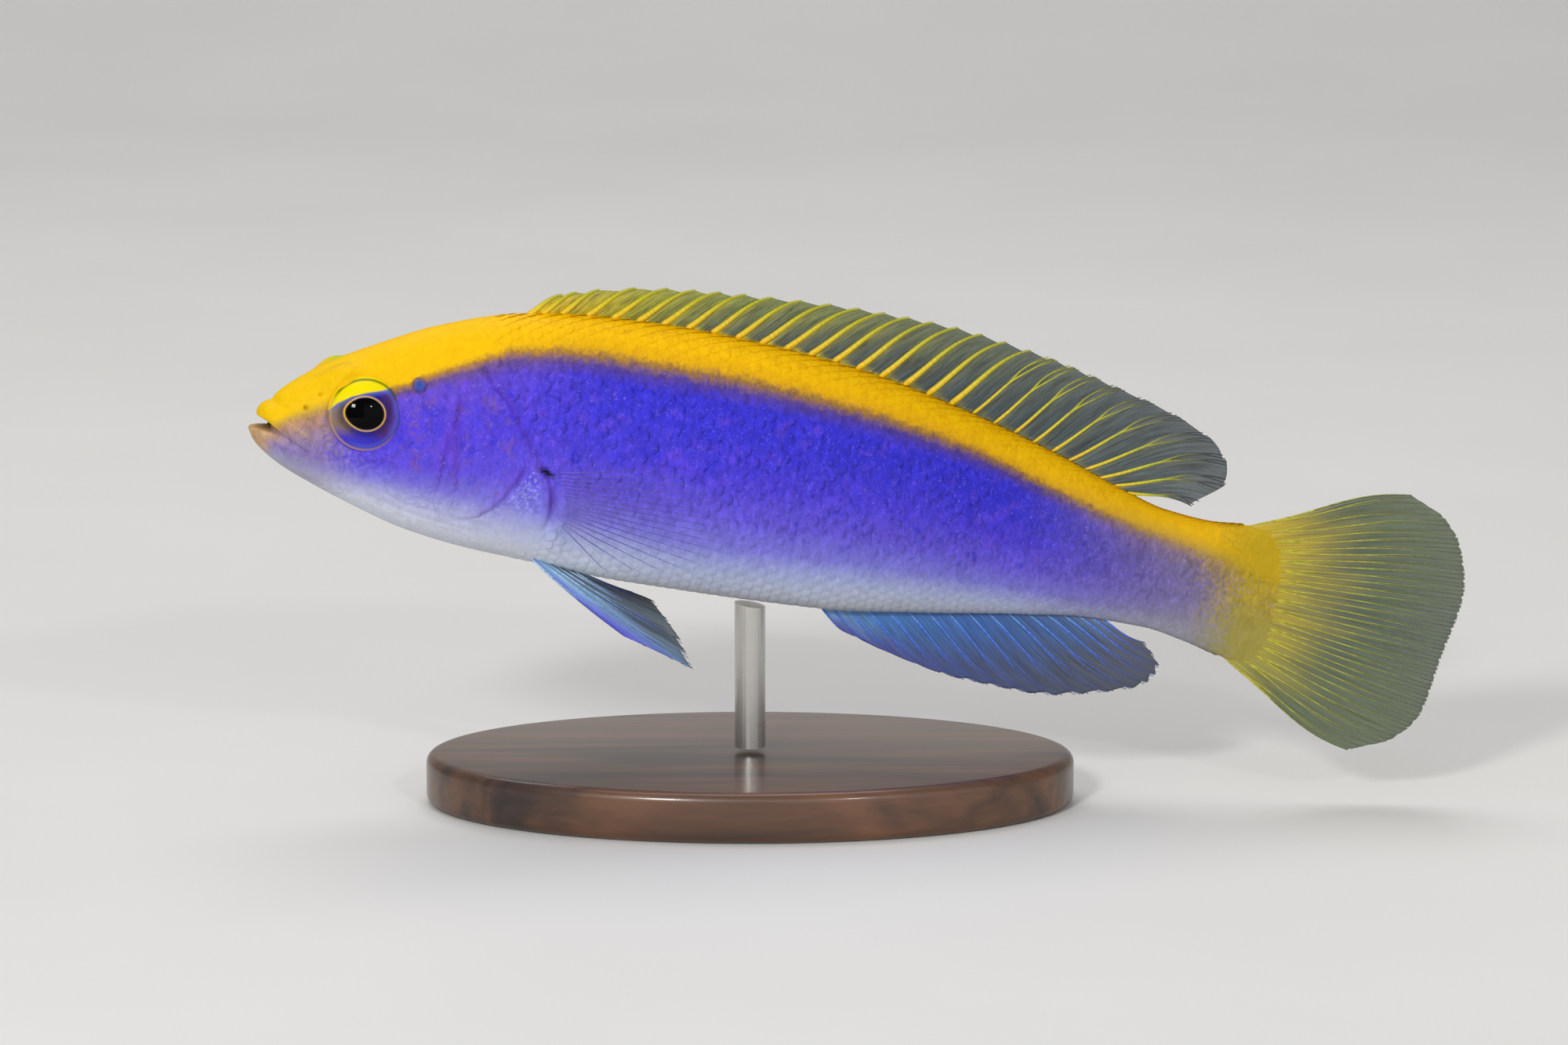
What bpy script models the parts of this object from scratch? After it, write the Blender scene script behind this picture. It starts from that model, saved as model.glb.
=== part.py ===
"""Sunrise dottyback, a small reef fish, as a still, life-size model on a plain display stand.

The fish is built in millimetres, level and straight: s runs back from the lower jaw's tip to the
edge of the tail fin, y runs to the fish's right and h up. It is parted by thin cuts, then bent
to its left, turned to metres, and pitched nose-up over the stand by an empty.
"""

import math

import bmesh
import bpy
import numpy as np

MM = 0.001
GAP = 0.3  # kept between pieces that touch
SHORTEST_EDGE = 0.00002  # metres; shorter edges left by the cuts are closed up

# Body sections, nose to tail: station, back, belly, half width, height of the widest line as a
# share of the depth.
BODY = np.array(
    [
        [0.0, 0.42, 0.36, 0.05, 0.50],
        [0.15, 1.00, -0.34, 0.55, 0.50],
        [0.4, 1.46, -0.67, 0.85, 0.50],
        [1.0, 2.16, -1.15, 1.25, 0.48],
        [2.0, 3.10, -1.75, 1.70, 0.47],
        [4.0, 4.57, -2.62, 2.35, 0.45],
        [6.5, 5.92, -3.57, 2.95, 0.43],
        [10.0, 7.51, -4.63, 3.55, 0.42],
        [14.0, 8.67, -5.27, 4.00, 0.42],
        [18.0, 9.20, -5.58, 4.20, 0.43],
        [23.0, 9.33, -5.98, 4.20, 0.45],
        [29.0, 9.07, -6.05, 3.95, 0.46],
        [35.0, 8.45, -5.90, 3.50, 0.47],
        [41.0, 7.25, -5.14, 2.80, 0.48],
        [47.0, 5.64, -4.15, 2.05, 0.49],
        [51.0, 4.36, -3.62, 1.55, 0.50],
        [54.0, 3.57, -3.58, 1.20, 0.50],
        [56.5, 3.40, -3.92, 0.95, 0.50],
        [58.5, 3.62, -4.44, 0.60, 0.50],
    ]
)
BODY_END = BODY[-1, 0]
BACK_POWER, BELLY_POWER = 1.12, 0.9  # a slightly ridged back over a rounder belly
RINGS, AROUND = 54, 38
RING_CROWDING = 1.8  # draws the rings together towards the nose

# The body's swimming bend: its heading at the head and at the tail, and where the bend lies.
HEAD_HEADING, TAIL_HEADING = math.radians(16), math.radians(-4)
BEND_START, BEND_END = 12.0, 58.0
PITCH = math.radians(10.6)

# Side-view lines of the cuts, as station and height.
MOUTH_LINE = [(-1.0, 0.62), (0.45, 0.52), (1.0, 0.38), (1.63, 0.17), (3.05, -0.5), (3.9, -1.15),
              (4.6, -2.0), (5.0, -3.0), (5.1, -4.5)]
MOUTH_OPENING, MOUTH_CORNER = 0.5, 1.7
GILL_LINE = [(13.3, 10.5), (12.5, 8.5), (12.1, 6.9), (12.4, 5.4), (13.67, 4.14), (14.92, 2.41),
             (15.9, 1.2), (16.7, 0.2), (17.1, -1.2), (17.2, -2.4), (16.6, -3.8), (15.6, -5.0),
             (14.8, -6.6)]
STALK_LINE = [(51.7, 7.0), (52.0, 0.0), (51.7, -7.0)]
GILL_COVER = [(11.7, 5.3), (11.3, 3.2), (11.3, 1.1), (10.8, -0.6), (10.7, -2.0), (11.5, -3.1),
              (13.2, -3.6), (15.2, -3.4), (17.6, -2.9), (18.4, -1.0), (17.6, 1.6), (15.4, 4.2),
              (13.4, 5.6)]
GILL_COVER_INNER = 2.35  # lateral distance of the cover's inner face

EYE_RADIUS, EYE_HALF_DEPTH = 2.2, 1.35
EYE_PLACE = (5.95, 2.1, 1.95)
EYE_TURN_UP, EYE_TURN_FORWARD = math.radians(9), math.radians(9)
EYE_SECTORS, EYE_RINGS = 20, 12
BROW = (4.2, 4.0, 0.7, 1.1)  # station, height, rise and width of the swelling over each eye
NOSTRILS = [(2.58, 1.64, 2.04, 0.24), (3.3, 1.72, 2.85, 0.17)]  # station, side, height, radius

MEMBRANE, FIN_TIP = 0.5, 0.38  # a fin's thickness between its rays, and at its edge
RAY, RAY_TIP = 0.86, 0.5  # the thickness over a ray, and at its tip
RAY_SHARE = 0.18  # a ray's half width as a share of the space between rays

# Median fins: station of a ray's root, then station and height of its tip.
DORSAL = np.array(
    [
        [14.9, 16.7, 10.15],
        [16.6, 18.6, 10.68],
        [19.4, 22.4, 11.32],
        [25.2, 28.4, 11.75],
        [30.2, 34.2, 11.95],
        [35.0, 39.0, 11.88],
        [40.8, 44.9, 11.20],
        [45.7, 50.1, 10.05],
        [47.9, 53.9, 9.00],
        [49.4, 56.6, 7.50],
        [50.4, 57.2, 6.00],
        [51.4, 55.4, 4.05],
    ]
)
DORSAL_RAYS = 29
ANAL = np.array(
    [
        [35.1, 37.0, -7.10],
        [36.3, 40.3, -8.00],
        [39.0, 44.0, -8.65],
        [42.5, 48.3, -8.75],
        [45.5, 52.2, -7.95],
        [48.0, 54.9, -6.80],
        [49.8, 55.4, -5.70],
        [51.3, 54.3, -4.45],
    ]
)
ANAL_RAYS = 17
TAIL_RAYS = 17
TAIL_ROOT = (3.45, -4.25)  # heights of the first and last root
TAIL_EDGE = np.array(  # height and station along the rear edge, bottom to top
    [
        [-8.41, 67.2],
        [-7.2, 69.7],
        [-5.3, 71.0],
        [-2.0, 71.45],
        [1.9, 72.0],
        [4.6, 71.3],
        [6.3, 69.9],
        [7.18, 67.8],
    ]
)
TAIL_BOW = 0.95  # how far the outermost rays bow outwards

# Paired fins, left side: share along the root, then the tip's station, side and height.
PECTORAL_ROOT = ((17.3, 0.7), (18.1, -2.5))
PECTORAL = np.array(
    [
        [0.0, 21.9, 5.5, 2.60],
        [0.15, 24.2, 6.2, 1.60],
        [0.3, 26.0, 6.8, 0.60],
        [0.45, 27.6, 7.2, -0.60],
        [0.6, 27.9, 7.3, -1.80],
        [0.75, 27.0, 7.1, -3.10],
        [0.88, 25.2, 6.6, -4.10],
        [1.0, 21.6, 5.4, -4.60],
    ]
)
PECTORAL_RAYS = 17
PELVIC_ROOT = ((17.5, 1.7), (19.9, 0.8))  # station and side of the first and last root
PELVIC = np.array(
    [
        [0.0, 23.4, 2.7, -8.70],
        [0.2, 27.8, 3.2, -10.00],
        [0.4, 27.2, 3.0, -9.10],
        [0.6, 26.8, 2.6, -8.45],
        [0.8, 25.9, 2.1, -7.45],
        [1.0, 24.4, 1.6, -6.95],
    ]
)
PELVIC_RAYS = 6

STAND_AT = 31.0  # station over the rod
ROD_RADIUS, ROD_LENGTH, ROD_SIDES = 0.9, 8.5, 24
BASE_HALF_LENGTH, BASE_HALF_WIDTH, BASE_HEIGHT = 19.0, 11.0, 3.0
BASE_SIDES, BASE_EDGE, BASE_EDGE_STEPS = 48, 0.6, 2


def smooth_curve(knots, values, at):
    """Values read between knots along a curve that never overshoots them."""
    knots, values = np.asarray(knots, float), np.asarray(values, float)
    spans = np.diff(knots)
    slopes = np.diff(values) / spans
    tangents = np.zeros(len(knots))
    tangents[0], tangents[-1] = slopes[0], slopes[-1]
    for i in range(1, len(knots) - 1):
        before, after = slopes[i - 1], slopes[i]
        if before * after > 0:
            first = 2 * spans[i] + spans[i - 1]
            second = spans[i] + 2 * spans[i - 1]
            tangents[i] = (first + second) / (first / before + second / after)
    i = np.clip(np.searchsorted(knots, at, side="right") - 1, 0, len(spans) - 1)
    t = np.clip((at - knots[i]) / spans[i], 0, 1)
    start = (1 + 2 * t) * (1 - t) ** 2 * values[i] + t * (1 - t) ** 2 * spans[i] * tangents[i]
    end = t * t * (3 - 2 * t) * values[i + 1] + t * t * (t - 1) * spans[i] * tangents[i + 1]
    return float(start + end)


def smooth_path(points, count, closed=False):
    """Points evenly spread along a rounded line through the given ones."""
    points = np.asarray(points, float)
    if closed:
        points = np.vstack([points[-2:], points, points[:3]])
    else:
        points = np.vstack([2 * points[0] - points[1], points, 2 * points[-1] - points[-2]])
    path = []
    for a, b, c, d in zip(points, points[1:], points[2:], points[3:]):
        for t in np.linspace(0, 1, 12, endpoint=False):
            path.append(
                0.5 * (2 * b + (c - a) * t + (2 * a - 5 * b + 4 * c - d) * t * t
                       + (3 * b - a - 3 * c + d) * t ** 3)
            )
    path = np.array(path[12:-12] if closed else path + [points[-2]])
    along = np.concatenate([[0], np.cumsum(np.linalg.norm(np.diff(path, axis=0), axis=1))])
    wanted = np.linspace(0, along[-1], count, endpoint=not closed)
    return np.stack([np.interp(wanted, along, path[:, k]) for k in range(path.shape[1])], axis=1)


def body_at(s):
    """Back, belly, half width and widest height of the body at a station."""
    s = min(max(s, 0.0), BODY_END)
    back, belly, half_width, share = (smooth_curve(BODY[:, 0], BODY[:, k], s) for k in range(1, 5))
    return back, belly, half_width, belly + share * (back - belly)


def back_height(s):
    return body_at(s)[0]


def belly_height(s):
    return body_at(s)[1]


def side_at(s, h):
    """How far the skin lies from the middle plane at a station and height."""
    back, belly, half_width, middle = body_at(s)
    if h > middle:
        rise = min((h - middle) / (back - middle), 0.999)
        return half_width * (1 - rise * rise) ** (BACK_POWER / 2)
    drop = min((middle - h) / (middle - belly), 0.999)
    return half_width * (1 - drop * drop) ** (BELLY_POWER / 2)


def hump(distance, width):
    return math.exp(-((distance / width) ** 2))


def lip_swell(s, h):
    """Height of the rolled lips over the skin, either side of the mouth line."""
    line = np.interp(s, [p[0] for p in MOUTH_LINE], [p[1] for p in MOUTH_LINE])
    fade = min(max((3.4 - s) / 1.4, 0), 1)
    upper = 0.2 * hump(h - line - 0.62, 0.42)
    lower = 0.13 * hump(h - line + 0.5, 0.32)
    groove = -0.14 * hump(h - line - 1.3, 0.22) * hump(s - 0.9, 0.9)
    return fade * (upper + lower) + groove


def brow_swell(s, h):
    """The swelling of the skin over each eye."""
    station, height, rise, width = BROW
    return rise * hump(s - station, width) * hump(h - height, width * 0.8)


def pectoral_lobe(s, h):
    """The fleshy lobe that carries the pectoral fin."""
    return 0.4 * hump(s - 17.9, 0.9) * hump(h + 1.3, 2.0)


def skin_point(s, turn):
    """A point of the skin; turn runs round the section from the back."""
    back, belly, half_width, middle = body_at(s)
    up, out = math.cos(turn), math.sin(turn)
    h = middle + up * (back - middle if up > 0 else middle - belly)
    power = BACK_POWER if up > 0 else BELLY_POWER
    y = half_width * math.copysign(abs(out) ** power, out)
    swell = lip_swell(s, h)
    forward = hump(s, 0.7)
    swell_side = swell * (1 - forward) + pectoral_lobe(s, h) + brow_swell(s, h)
    reach = 0.2 if h > MOUTH_LINE[1][1] else 1.0
    return (
        s - swell * forward * reach,
        y + swell_side * out,
        h + (swell_side - brow_swell(s, h)) * up * 0.6 + brow_swell(s, h) * abs(out) ** 0.5 * up,
    )


def flesh_mesh():
    """The whole body as one closed skin: a sphere whose rings are moved to the body's sections."""
    body = bmesh.new()
    bmesh.ops.create_uvsphere(body, u_segments=AROUND, v_segments=RINGS, radius=1.0)
    for vertex in body.verts:
        x, y, z = vertex.co
        ring = round(math.acos(max(-1, min(1, z))) / math.pi * RINGS)
        s = BODY_END * min(ring / (RINGS - 1), 1) ** RING_CROWDING
        if ring in (0, RINGS):
            vertex.co = (s + (0.05 if ring else 0), 0, body_at(s)[3])
        else:
            vertex.co = skin_point(s, math.atan2(y, x))
    face_outwards(body)
    return mesh_from(body, "flesh")


def face_outwards(shape):
    shape.normal_update()
    bmesh.ops.recalc_face_normals(shape, faces=shape.faces)


def mesh_from(shape, name):
    mesh = bpy.data.meshes.new(name)
    shape.to_mesh(mesh)
    shape.free()
    return mesh


def add_object(name, mesh, collection):
    piece = bpy.data.objects.new(name, mesh)
    collection.objects.link(piece)
    return piece


def add_cutter(name, mesh):
    cutter = add_object(name, mesh, cutters)
    cutter.hide_render = True
    cutter.display_type = "WIRE"
    return cutter


def settle(piece):
    """Makes a piece's modifiers part of its mesh."""
    bpy.context.view_layer.update()
    graph = bpy.context.evaluated_depsgraph_get()
    mesh = bpy.data.meshes.new_from_object(piece.evaluated_get(graph))
    piece.modifiers.clear()
    piece.data = mesh
    return piece


def boolean(piece, cutter, operation="DIFFERENCE", solver="EXACT"):
    modifier = piece.modifiers.new("cut", "BOOLEAN")
    modifier.operation = operation
    modifier.object = cutter
    modifier.solver = solver
    return settle(piece)


def sheet_mesh(columns, rows, place, thickness):
    """A closed sheet: a grid laid out by place(column, row) and made thickness(column, row) thick."""
    grid = bmesh.new()
    bmesh.ops.create_grid(grid, x_segments=len(columns) - 1, y_segments=len(rows) - 1, size=1)
    weights = []
    for vertex in grid.verts:
        column = columns[round((vertex.co.x + 1) / 2 * (len(columns) - 1))]
        row = rows[round((vertex.co.y + 1) / 2 * (len(rows) - 1))]
        vertex.co = place(column, row)
        weights.append(thickness(column, row))
    bmesh.ops.triangulate(grid, faces=grid.faces)
    sheet = add_object("sheet", mesh_from(grid, "sheet"), cutters)
    thickest = max(weights)
    group = sheet.vertex_groups.new(name="thickness")
    for index, weight in enumerate(weights):
        group.add([index], weight / thickest, "REPLACE")
    solidify = sheet.modifiers.new("thickness", "SOLIDIFY")
    solidify.thickness = thickest
    solidify.offset = 0
    solidify.vertex_group = group.name
    settle(sheet)
    mesh = sheet.data
    bpy.data.objects.remove(sheet)
    return mesh


def mouth_gap(s):
    """Open at the lips, closing to the plain gap at the mouth's corner."""
    return GAP + (MOUTH_OPENING - GAP) * min(max(1 - s / MOUTH_CORNER, 0), 1)


def wall_cutter(name, line, reach, width=lambda s: GAP):
    """A thin curved wall that follows a side-view line right across the body."""
    path = smooth_path(line, 40)
    return add_cutter(
        name,
        sheet_mesh(
            range(len(path)),
            (-reach, reach),
            lambda i, y: (path[i][0], y, path[i][1]),
            lambda i, y: width(path[i][0]),
        ),
    )


def outline_cutter(name, outline, grow, inner, side):
    """A block over a side-view outline, from its inner face out past the skin on one side."""
    path = smooth_path(outline, 48, closed=True)
    ahead, behind = np.roll(path, -1, axis=0), np.roll(path, 1, axis=0)
    along = (ahead - behind) / np.linalg.norm(ahead - behind, axis=1)[:, None]
    out = np.stack([-along[:, 1], along[:, 0]], axis=1)
    if ((path - path.mean(axis=0)) * out).sum() < 0:
        out = -out
    path = path + grow * out
    block = bmesh.new()
    ring = bmesh.ops.create_circle(block, cap_ends=True, segments=len(path), radius=1)
    for vertex, (s, h) in zip(ring["verts"], path):
        vertex.co = (s, side * inner, h)
    moved = bmesh.ops.extrude_face_region(block, geom=block.faces[:])
    for item in moved["geom"]:
        if isinstance(item, bmesh.types.BMVert):
            item.co.y = side * 9
    face_outwards(block)
    return add_cutter(name, mesh_from(block, name))


def eye_mesh(side, grow=0.0):
    """A flattened ball whose short axis looks out, a little up and forward."""
    ball = bmesh.new()
    bmesh.ops.create_uvsphere(ball, u_segments=EYE_SECTORS, v_segments=EYE_RINGS, radius=1.0)
    station, lateral, height = EYE_PLACE
    for vertex in ball.verts:
        x, y, out = vertex.co
        x, y, out = x * (EYE_RADIUS + grow), y * (EYE_RADIUS + grow), out * (EYE_HALF_DEPTH + grow)
        out, y = (out * math.cos(EYE_TURN_UP) - y * math.sin(EYE_TURN_UP),
                  y * math.cos(EYE_TURN_UP) + out * math.sin(EYE_TURN_UP))
        out, x = (out * math.cos(EYE_TURN_FORWARD) + x * math.sin(EYE_TURN_FORWARD),
                  x * math.cos(EYE_TURN_FORWARD) - out * math.sin(EYE_TURN_FORWARD))
        vertex.co = (station + x, side * (lateral + out), height + y)
    face_outwards(ball)
    return mesh_from(ball, "eye")


def nostril_mesh(station, lateral, height, radius):
    pit = bmesh.new()
    bmesh.ops.create_icosphere(pit, subdivisions=2, radius=radius)
    for vertex in pit.verts:
        vertex.co.x += station
        vertex.co.y = vertex.co.y * 1.8 + lateral
        vertex.co.z += height
    return mesh_from(pit, "nostril")


def ray_columns(rays):
    """Places across a fin in ray numbers: each ray's crest and feet, and the membrane's middle."""
    columns = []
    for ray in range(rays - 1):
        columns += [ray, ray + RAY_SHARE, ray + 0.5, ray + 1 - RAY_SHARE]
    return columns + [rays - 1]


def plain_columns(rays):
    return [column for column in ray_columns(rays) if column % 1 != 0.5]


def fin_thickness(column, share):
    """Ridged over each ray, thinning to the edge."""
    membrane = MEMBRANE + (FIN_TIP - MEMBRANE) * share ** 2
    crest = RAY + (RAY_TIP - RAY) * share
    return crest if column % 1 == 0 else membrane


def forked_thickness(column, share):
    """As fin_thickness, with each ray forked into two beyond its middle."""
    membrane = MEMBRANE + (FIN_TIP - MEMBRANE) * share ** 2
    crest = RAY + (RAY_TIP - RAY) * share
    part = column % 1
    if part == 0.5:
        return membrane
    if share <= 0.45:
        return crest if part == 0 else membrane
    return membrane if part == 0 else crest * 0.9


def bowed(root, tip, share, bow):
    """A point along a ray that bows by the given offset at its middle."""
    root, tip, bow = np.array(root), np.array(tip), np.array(bow)
    return root + (tip - root) * share + bow * 4 * share * (1 - share)


def notch(column, depth):
    """How far the membrane's edge falls back between two rays' tips, as a share."""
    return depth * math.sin(math.pi * (column % 1)) ** 2


def spread_roots(rays, table):
    """Roots along a fin's base: close together at its start and towards its end."""
    steps = np.interp(np.arange(rays - 1), [0, 2, rays * 0.6, rays - 2], [0.6, 1.2, 1.15, 0.65])
    shares = np.concatenate([[0], np.cumsum(steps)]) / steps.sum()
    return table[0, 0] + shares * (table[-1, 0] - table[0, 0])


def median_fin(rays, table, foot, bow):
    """Grid for a fin in the middle plane; foot gives the height of its base."""
    roots = spread_roots(rays, table)

    def place(column, share):
        station = float(np.interp(column, range(rays), roots))
        tip_station = smooth_curve(table[:, 0], table[:, 1], station)
        tip_height = smooth_curve(table[:, 0], table[:, 2], station)
        root = (station, 0, foot(station))
        tip = (tip_station, 0, tip_height)
        length = math.dist(root, tip)
        depth = 0.55 / length * min(1, max(0.2, (rays - column) / rays))
        share = share * (1 - notch(column, depth))
        return bowed(root, tip, share, (-0.03 * length, 0, bow * length))

    return place


def dorsal_mesh():
    place = median_fin(DORSAL_RAYS, DORSAL, lambda s: back_height(s) + GAP * 1.1, 0.06)
    rows = (0, 0.2, 0.5, 0.8, 1)
    return sheet_mesh(plain_columns(DORSAL_RAYS), rows, place, fin_thickness)


def anal_mesh():
    place = median_fin(ANAL_RAYS, ANAL, lambda s: belly_height(s) - GAP * 1.1, -0.05)
    rows = (0, 0.15, 0.4, 0.65, 0.87, 1)
    return sheet_mesh(plain_columns(ANAL_RAYS), rows, place, fin_thickness)


def tail_place(column, share):
    across = column / (TAIL_RAYS - 1)
    top, bottom = TAIL_ROOT
    tip_height = TAIL_EDGE[-1, 0] + (TAIL_EDGE[0, 0] - TAIL_EDGE[-1, 0]) * across
    root = (BODY_END + GAP + 0.05, 0, top + (bottom - top) * across)
    tip = (smooth_curve(TAIL_EDGE[:, 0], TAIL_EDGE[:, 1], tip_height), 0, tip_height)
    outward = (1 - 2 * across) ** 3
    return bowed(root, tip, share * (1 - notch(column, 0.015)), (0, 0, TAIL_BOW * 0.5 * outward))


def tail_mesh():
    rows = (0, 0.2, 0.45, 0.6, 0.8, 1)
    return sheet_mesh(ray_columns(TAIL_RAYS), rows, tail_place, forked_thickness)


def pectoral_place(column, share):
    across = column / (PECTORAL_RAYS - 1)
    (top_s, top_h), (low_s, low_h) = PECTORAL_ROOT
    station, height = top_s + (low_s - top_s) * across, top_h + (low_h - top_h) * across
    clear = pectoral_lobe(station, height) + GAP + RAY / 2
    root = (station, side_at(station, height) + clear, height)
    tip = [smooth_curve(PECTORAL[:, 0], PECTORAL[:, k], across) for k in (1, 2, 3)]
    share = share * (1 - notch(column, 0.03))
    s, y, h = bowed(root, tip, share, (0, 0.35, 0))
    return (s, -y, h)


def pectoral_mesh():
    rows = (0, 0.2, 0.45, 0.75, 1)
    return sheet_mesh(plain_columns(PECTORAL_RAYS), rows, pectoral_place, fin_thickness)


def pelvic_place(column, share):
    across = column / (PELVIC_RAYS - 1)
    (first_s, first_y), (last_s, last_y) = PELVIC_ROOT
    station, lateral = first_s + (last_s - first_s) * across, first_y + (last_y - first_y) * across
    half_width = body_at(station)[2]
    rise = 1 - (1 - (lateral / half_width) ** (2 / BELLY_POWER)) ** 0.5
    middle = body_at(station)[3]
    skin = belly_height(station) + rise * (middle - belly_height(station))
    root = (station, lateral, skin - GAP - 0.25)
    tip = [smooth_curve(PELVIC[:, 0], PELVIC[:, k], across) for k in (1, 2, 3)]
    share = share * (1 - notch(column, 0.05))
    s, y, h = bowed(root, tip, share, (0, 0.1, -0.15))
    return (s, -y, h)


def pelvic_mesh():
    rows = (0, 0.1, 0.25, 0.45, 0.65, 0.85, 1)
    return sheet_mesh(ray_columns(PELVIC_RAYS), rows, pelvic_place, fin_thickness)


def mirrored(mesh, name):
    """The same piece on the fish's right side."""
    other = bmesh.new()
    other.from_mesh(mesh)
    for vertex in other.verts:
        vertex.co.y = -vertex.co.y
    bmesh.ops.reverse_faces(other, faces=other.faces)
    return mesh_from(other, name)


def heading(s):
    t = min(max((s - BEND_START) / (BEND_END - BEND_START), 0), 1)
    return HEAD_HEADING + (TAIL_HEADING - HEAD_HEADING) * t * t * (3 - 2 * t)


def midline():
    """Stations along the bent middle line, with its run and its sideways offset from the rod."""
    stations = np.arange(-2, 75, 0.25)
    headings = np.array([heading(s) for s in stations])
    run = np.concatenate([[0], np.cumsum(np.cos((headings[1:] + headings[:-1]) / 2)) * 0.25])
    offset = np.concatenate([[0], np.cumsum(np.sin((headings[1:] + headings[:-1]) / 2)) * 0.25])
    run -= np.interp(STAND_AT, stations, run)
    offset -= np.interp(STAND_AT, stations, offset)
    return stations, run, offset


def bend_piece(piece):
    """Bends a straight piece along the midline and turns it from millimetres to metres."""
    stations, run, offset = MIDLINE
    for vertex in piece.data.vertices:
        s, y, h = vertex.co
        turn = heading(s)
        x = np.interp(s, stations, run) - y * math.sin(turn)
        y = np.interp(s, stations, offset) + y * math.cos(turn)
        vertex.co = (x * MM, y * MM, h * MM)
    bent = bmesh.new()
    bent.from_mesh(piece.data)
    bmesh.ops.dissolve_degenerate(bent, dist=SHORTEST_EDGE, edges=bent.edges)
    bmesh.ops.triangulate(bent, faces=bent.faces)
    bent.to_mesh(piece.data)
    bent.free()


def material(name, colour, roughness, metallic=0.0):
    made = bpy.data.materials.new(name)
    made.use_nodes = True
    shader = made.node_tree.nodes["Principled BSDF"]
    shader.inputs["Base Color"].default_value = (*colour, 1)
    shader.inputs["Roughness"].default_value = roughness
    shader.inputs["Metallic"].default_value = metallic
    return made


def islands(mesh):
    """Each closed body of a mesh as its own mesh, in order from nose to tail."""
    whole = bmesh.new()
    whole.from_mesh(mesh)
    left = set(whole.verts)
    found = []
    while left:
        seen, edge = set(), [left.pop()]
        while edge:
            vertex = edge.pop()
            seen.add(vertex)
            for link in vertex.link_edges:
                other = link.other_vert(vertex)
                if other in left:
                    left.discard(other)
                    edge.append(other)
        found.append({vertex.index for vertex in seen})
    whole.free()
    pieces = []
    for wanted in found:
        part = bmesh.new()
        part.from_mesh(mesh)
        spare = [vertex for vertex in part.verts if vertex.index not in wanted]
        bmesh.ops.delete(part, geom=spare, context="VERTS")
        pieces.append((part.calc_volume(), sum(v.co.x for v in part.verts) / len(part.verts), part))
    pieces.sort(key=lambda piece: -piece[0])
    kept = sorted(pieces[:4], key=lambda piece: piece[1])
    return [mesh_from(part, "flesh") for _, _, part in kept]


for old in list(bpy.data.objects):
    bpy.data.objects.remove(old)
fish = bpy.data.collections.new("sunrise_dottyback")
cutters = bpy.data.collections.new("cutters")
cutters.hide_render = True
for made in (fish, cutters):
    bpy.context.scene.collection.children.link(made)
MIDLINE = midline()

# The flesh: one skin, parted at the mouth, behind the gill covers and before the tail stalk.
flesh = add_object("flesh", flesh_mesh(), cutters)
boolean(flesh, wall_cutter("mouth_cut", MOUTH_LINE, 6, mouth_gap))
boolean(flesh, wall_cutter("gill_cut", GILL_LINE, 8))
boolean(flesh, wall_cutter("stalk_cut", STALK_LINE, 6))
pieces = {}
for name, mesh in zip(("lower_jaw", "head", "trunk", "tail_stalk"), islands(flesh.data)):
    pieces[name] = add_object(name, mesh, fish)
bpy.data.objects.remove(flesh)

# Gill covers, eyes and nostrils on both sides of the head.
for side, label in ((-1, "left"), (1, "right")):
    cover = add_object("gill_cover_" + label, pieces["head"].data.copy(), fish)
    block = outline_cutter("cover_" + label, GILL_COVER, 0, GILL_COVER_INNER, side)
    boolean(cover, block, "INTERSECT")
    pieces[cover.name] = cover
for side, label in ((-1, "left"), (1, "right")):
    pocket = outline_cutter("pocket_" + label, GILL_COVER, GAP, GILL_COVER_INNER - GAP, side)
    boolean(pieces["head"], pocket, solver="MANIFOLD")
    boolean(pieces["head"], add_cutter("socket_" + label, eye_mesh(side, GAP)))
    for station, lateral, height, radius in NOSTRILS:
        pit = nostril_mesh(station, side * lateral, height, radius)
        boolean(pieces["head"], add_cutter("nostril_" + label, pit))
    pieces["eye_" + label] = add_object("eye_" + label, eye_mesh(side), fish)

# Fins.
pieces["dorsal_fin"] = add_object("dorsal_fin", dorsal_mesh(), fish)
pieces["anal_fin"] = add_object("anal_fin", anal_mesh(), fish)
pieces["tail_fin"] = add_object("tail_fin", tail_mesh(), fish)
for name, left in (("pectoral_fin", pectoral_mesh()), ("pelvic_fin", pelvic_mesh())):
    pieces[name + "_left"] = add_object(name + "_left", left, fish)
    pieces[name + "_right"] = add_object(name + "_right", mirrored(left, name), fish)

# The pose: bent along the midline, then pitched nose-up about the rod's top by an empty.
for piece in pieces.values():
    bend_piece(piece)
belly_rise = belly_height(STAND_AT) * math.cos(PITCH)
rod_top = BASE_HEIGHT + GAP + ROD_LENGTH
pose = bpy.data.objects.new("swimming_pose", None)
fish.objects.link(pose)
pose.rotation_euler = (0, PITCH, 0)
pose.location = (
    -belly_height(STAND_AT) * math.sin(PITCH) * MM,
    0,
    (rod_top + GAP - belly_rise) * MM,
)
for piece in pieces.values():
    piece.parent = pose

# The stand: an oval base with an eased edge, and a rod whose top follows the belly's slope.
base = bmesh.new()
bmesh.ops.create_cone(
    base, cap_ends=True, segments=BASE_SIDES, radius1=1, radius2=1, depth=BASE_HEIGHT * MM
)
for vertex in base.verts:
    vertex.co.x *= BASE_HALF_LENGTH * MM
    vertex.co.y *= BASE_HALF_WIDTH * MM
    vertex.co.z += BASE_HEIGHT / 2 * MM
stand_base = add_object("stand_base", mesh_from(base, "stand_base"), fish)
edge = stand_base.modifiers.new("eased_edge", "BEVEL")
edge.width = BASE_EDGE * MM
edge.segments = BASE_EDGE_STEPS
edge.limit_method = "ANGLE"
edge.angle_limit = math.radians(60)

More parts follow.
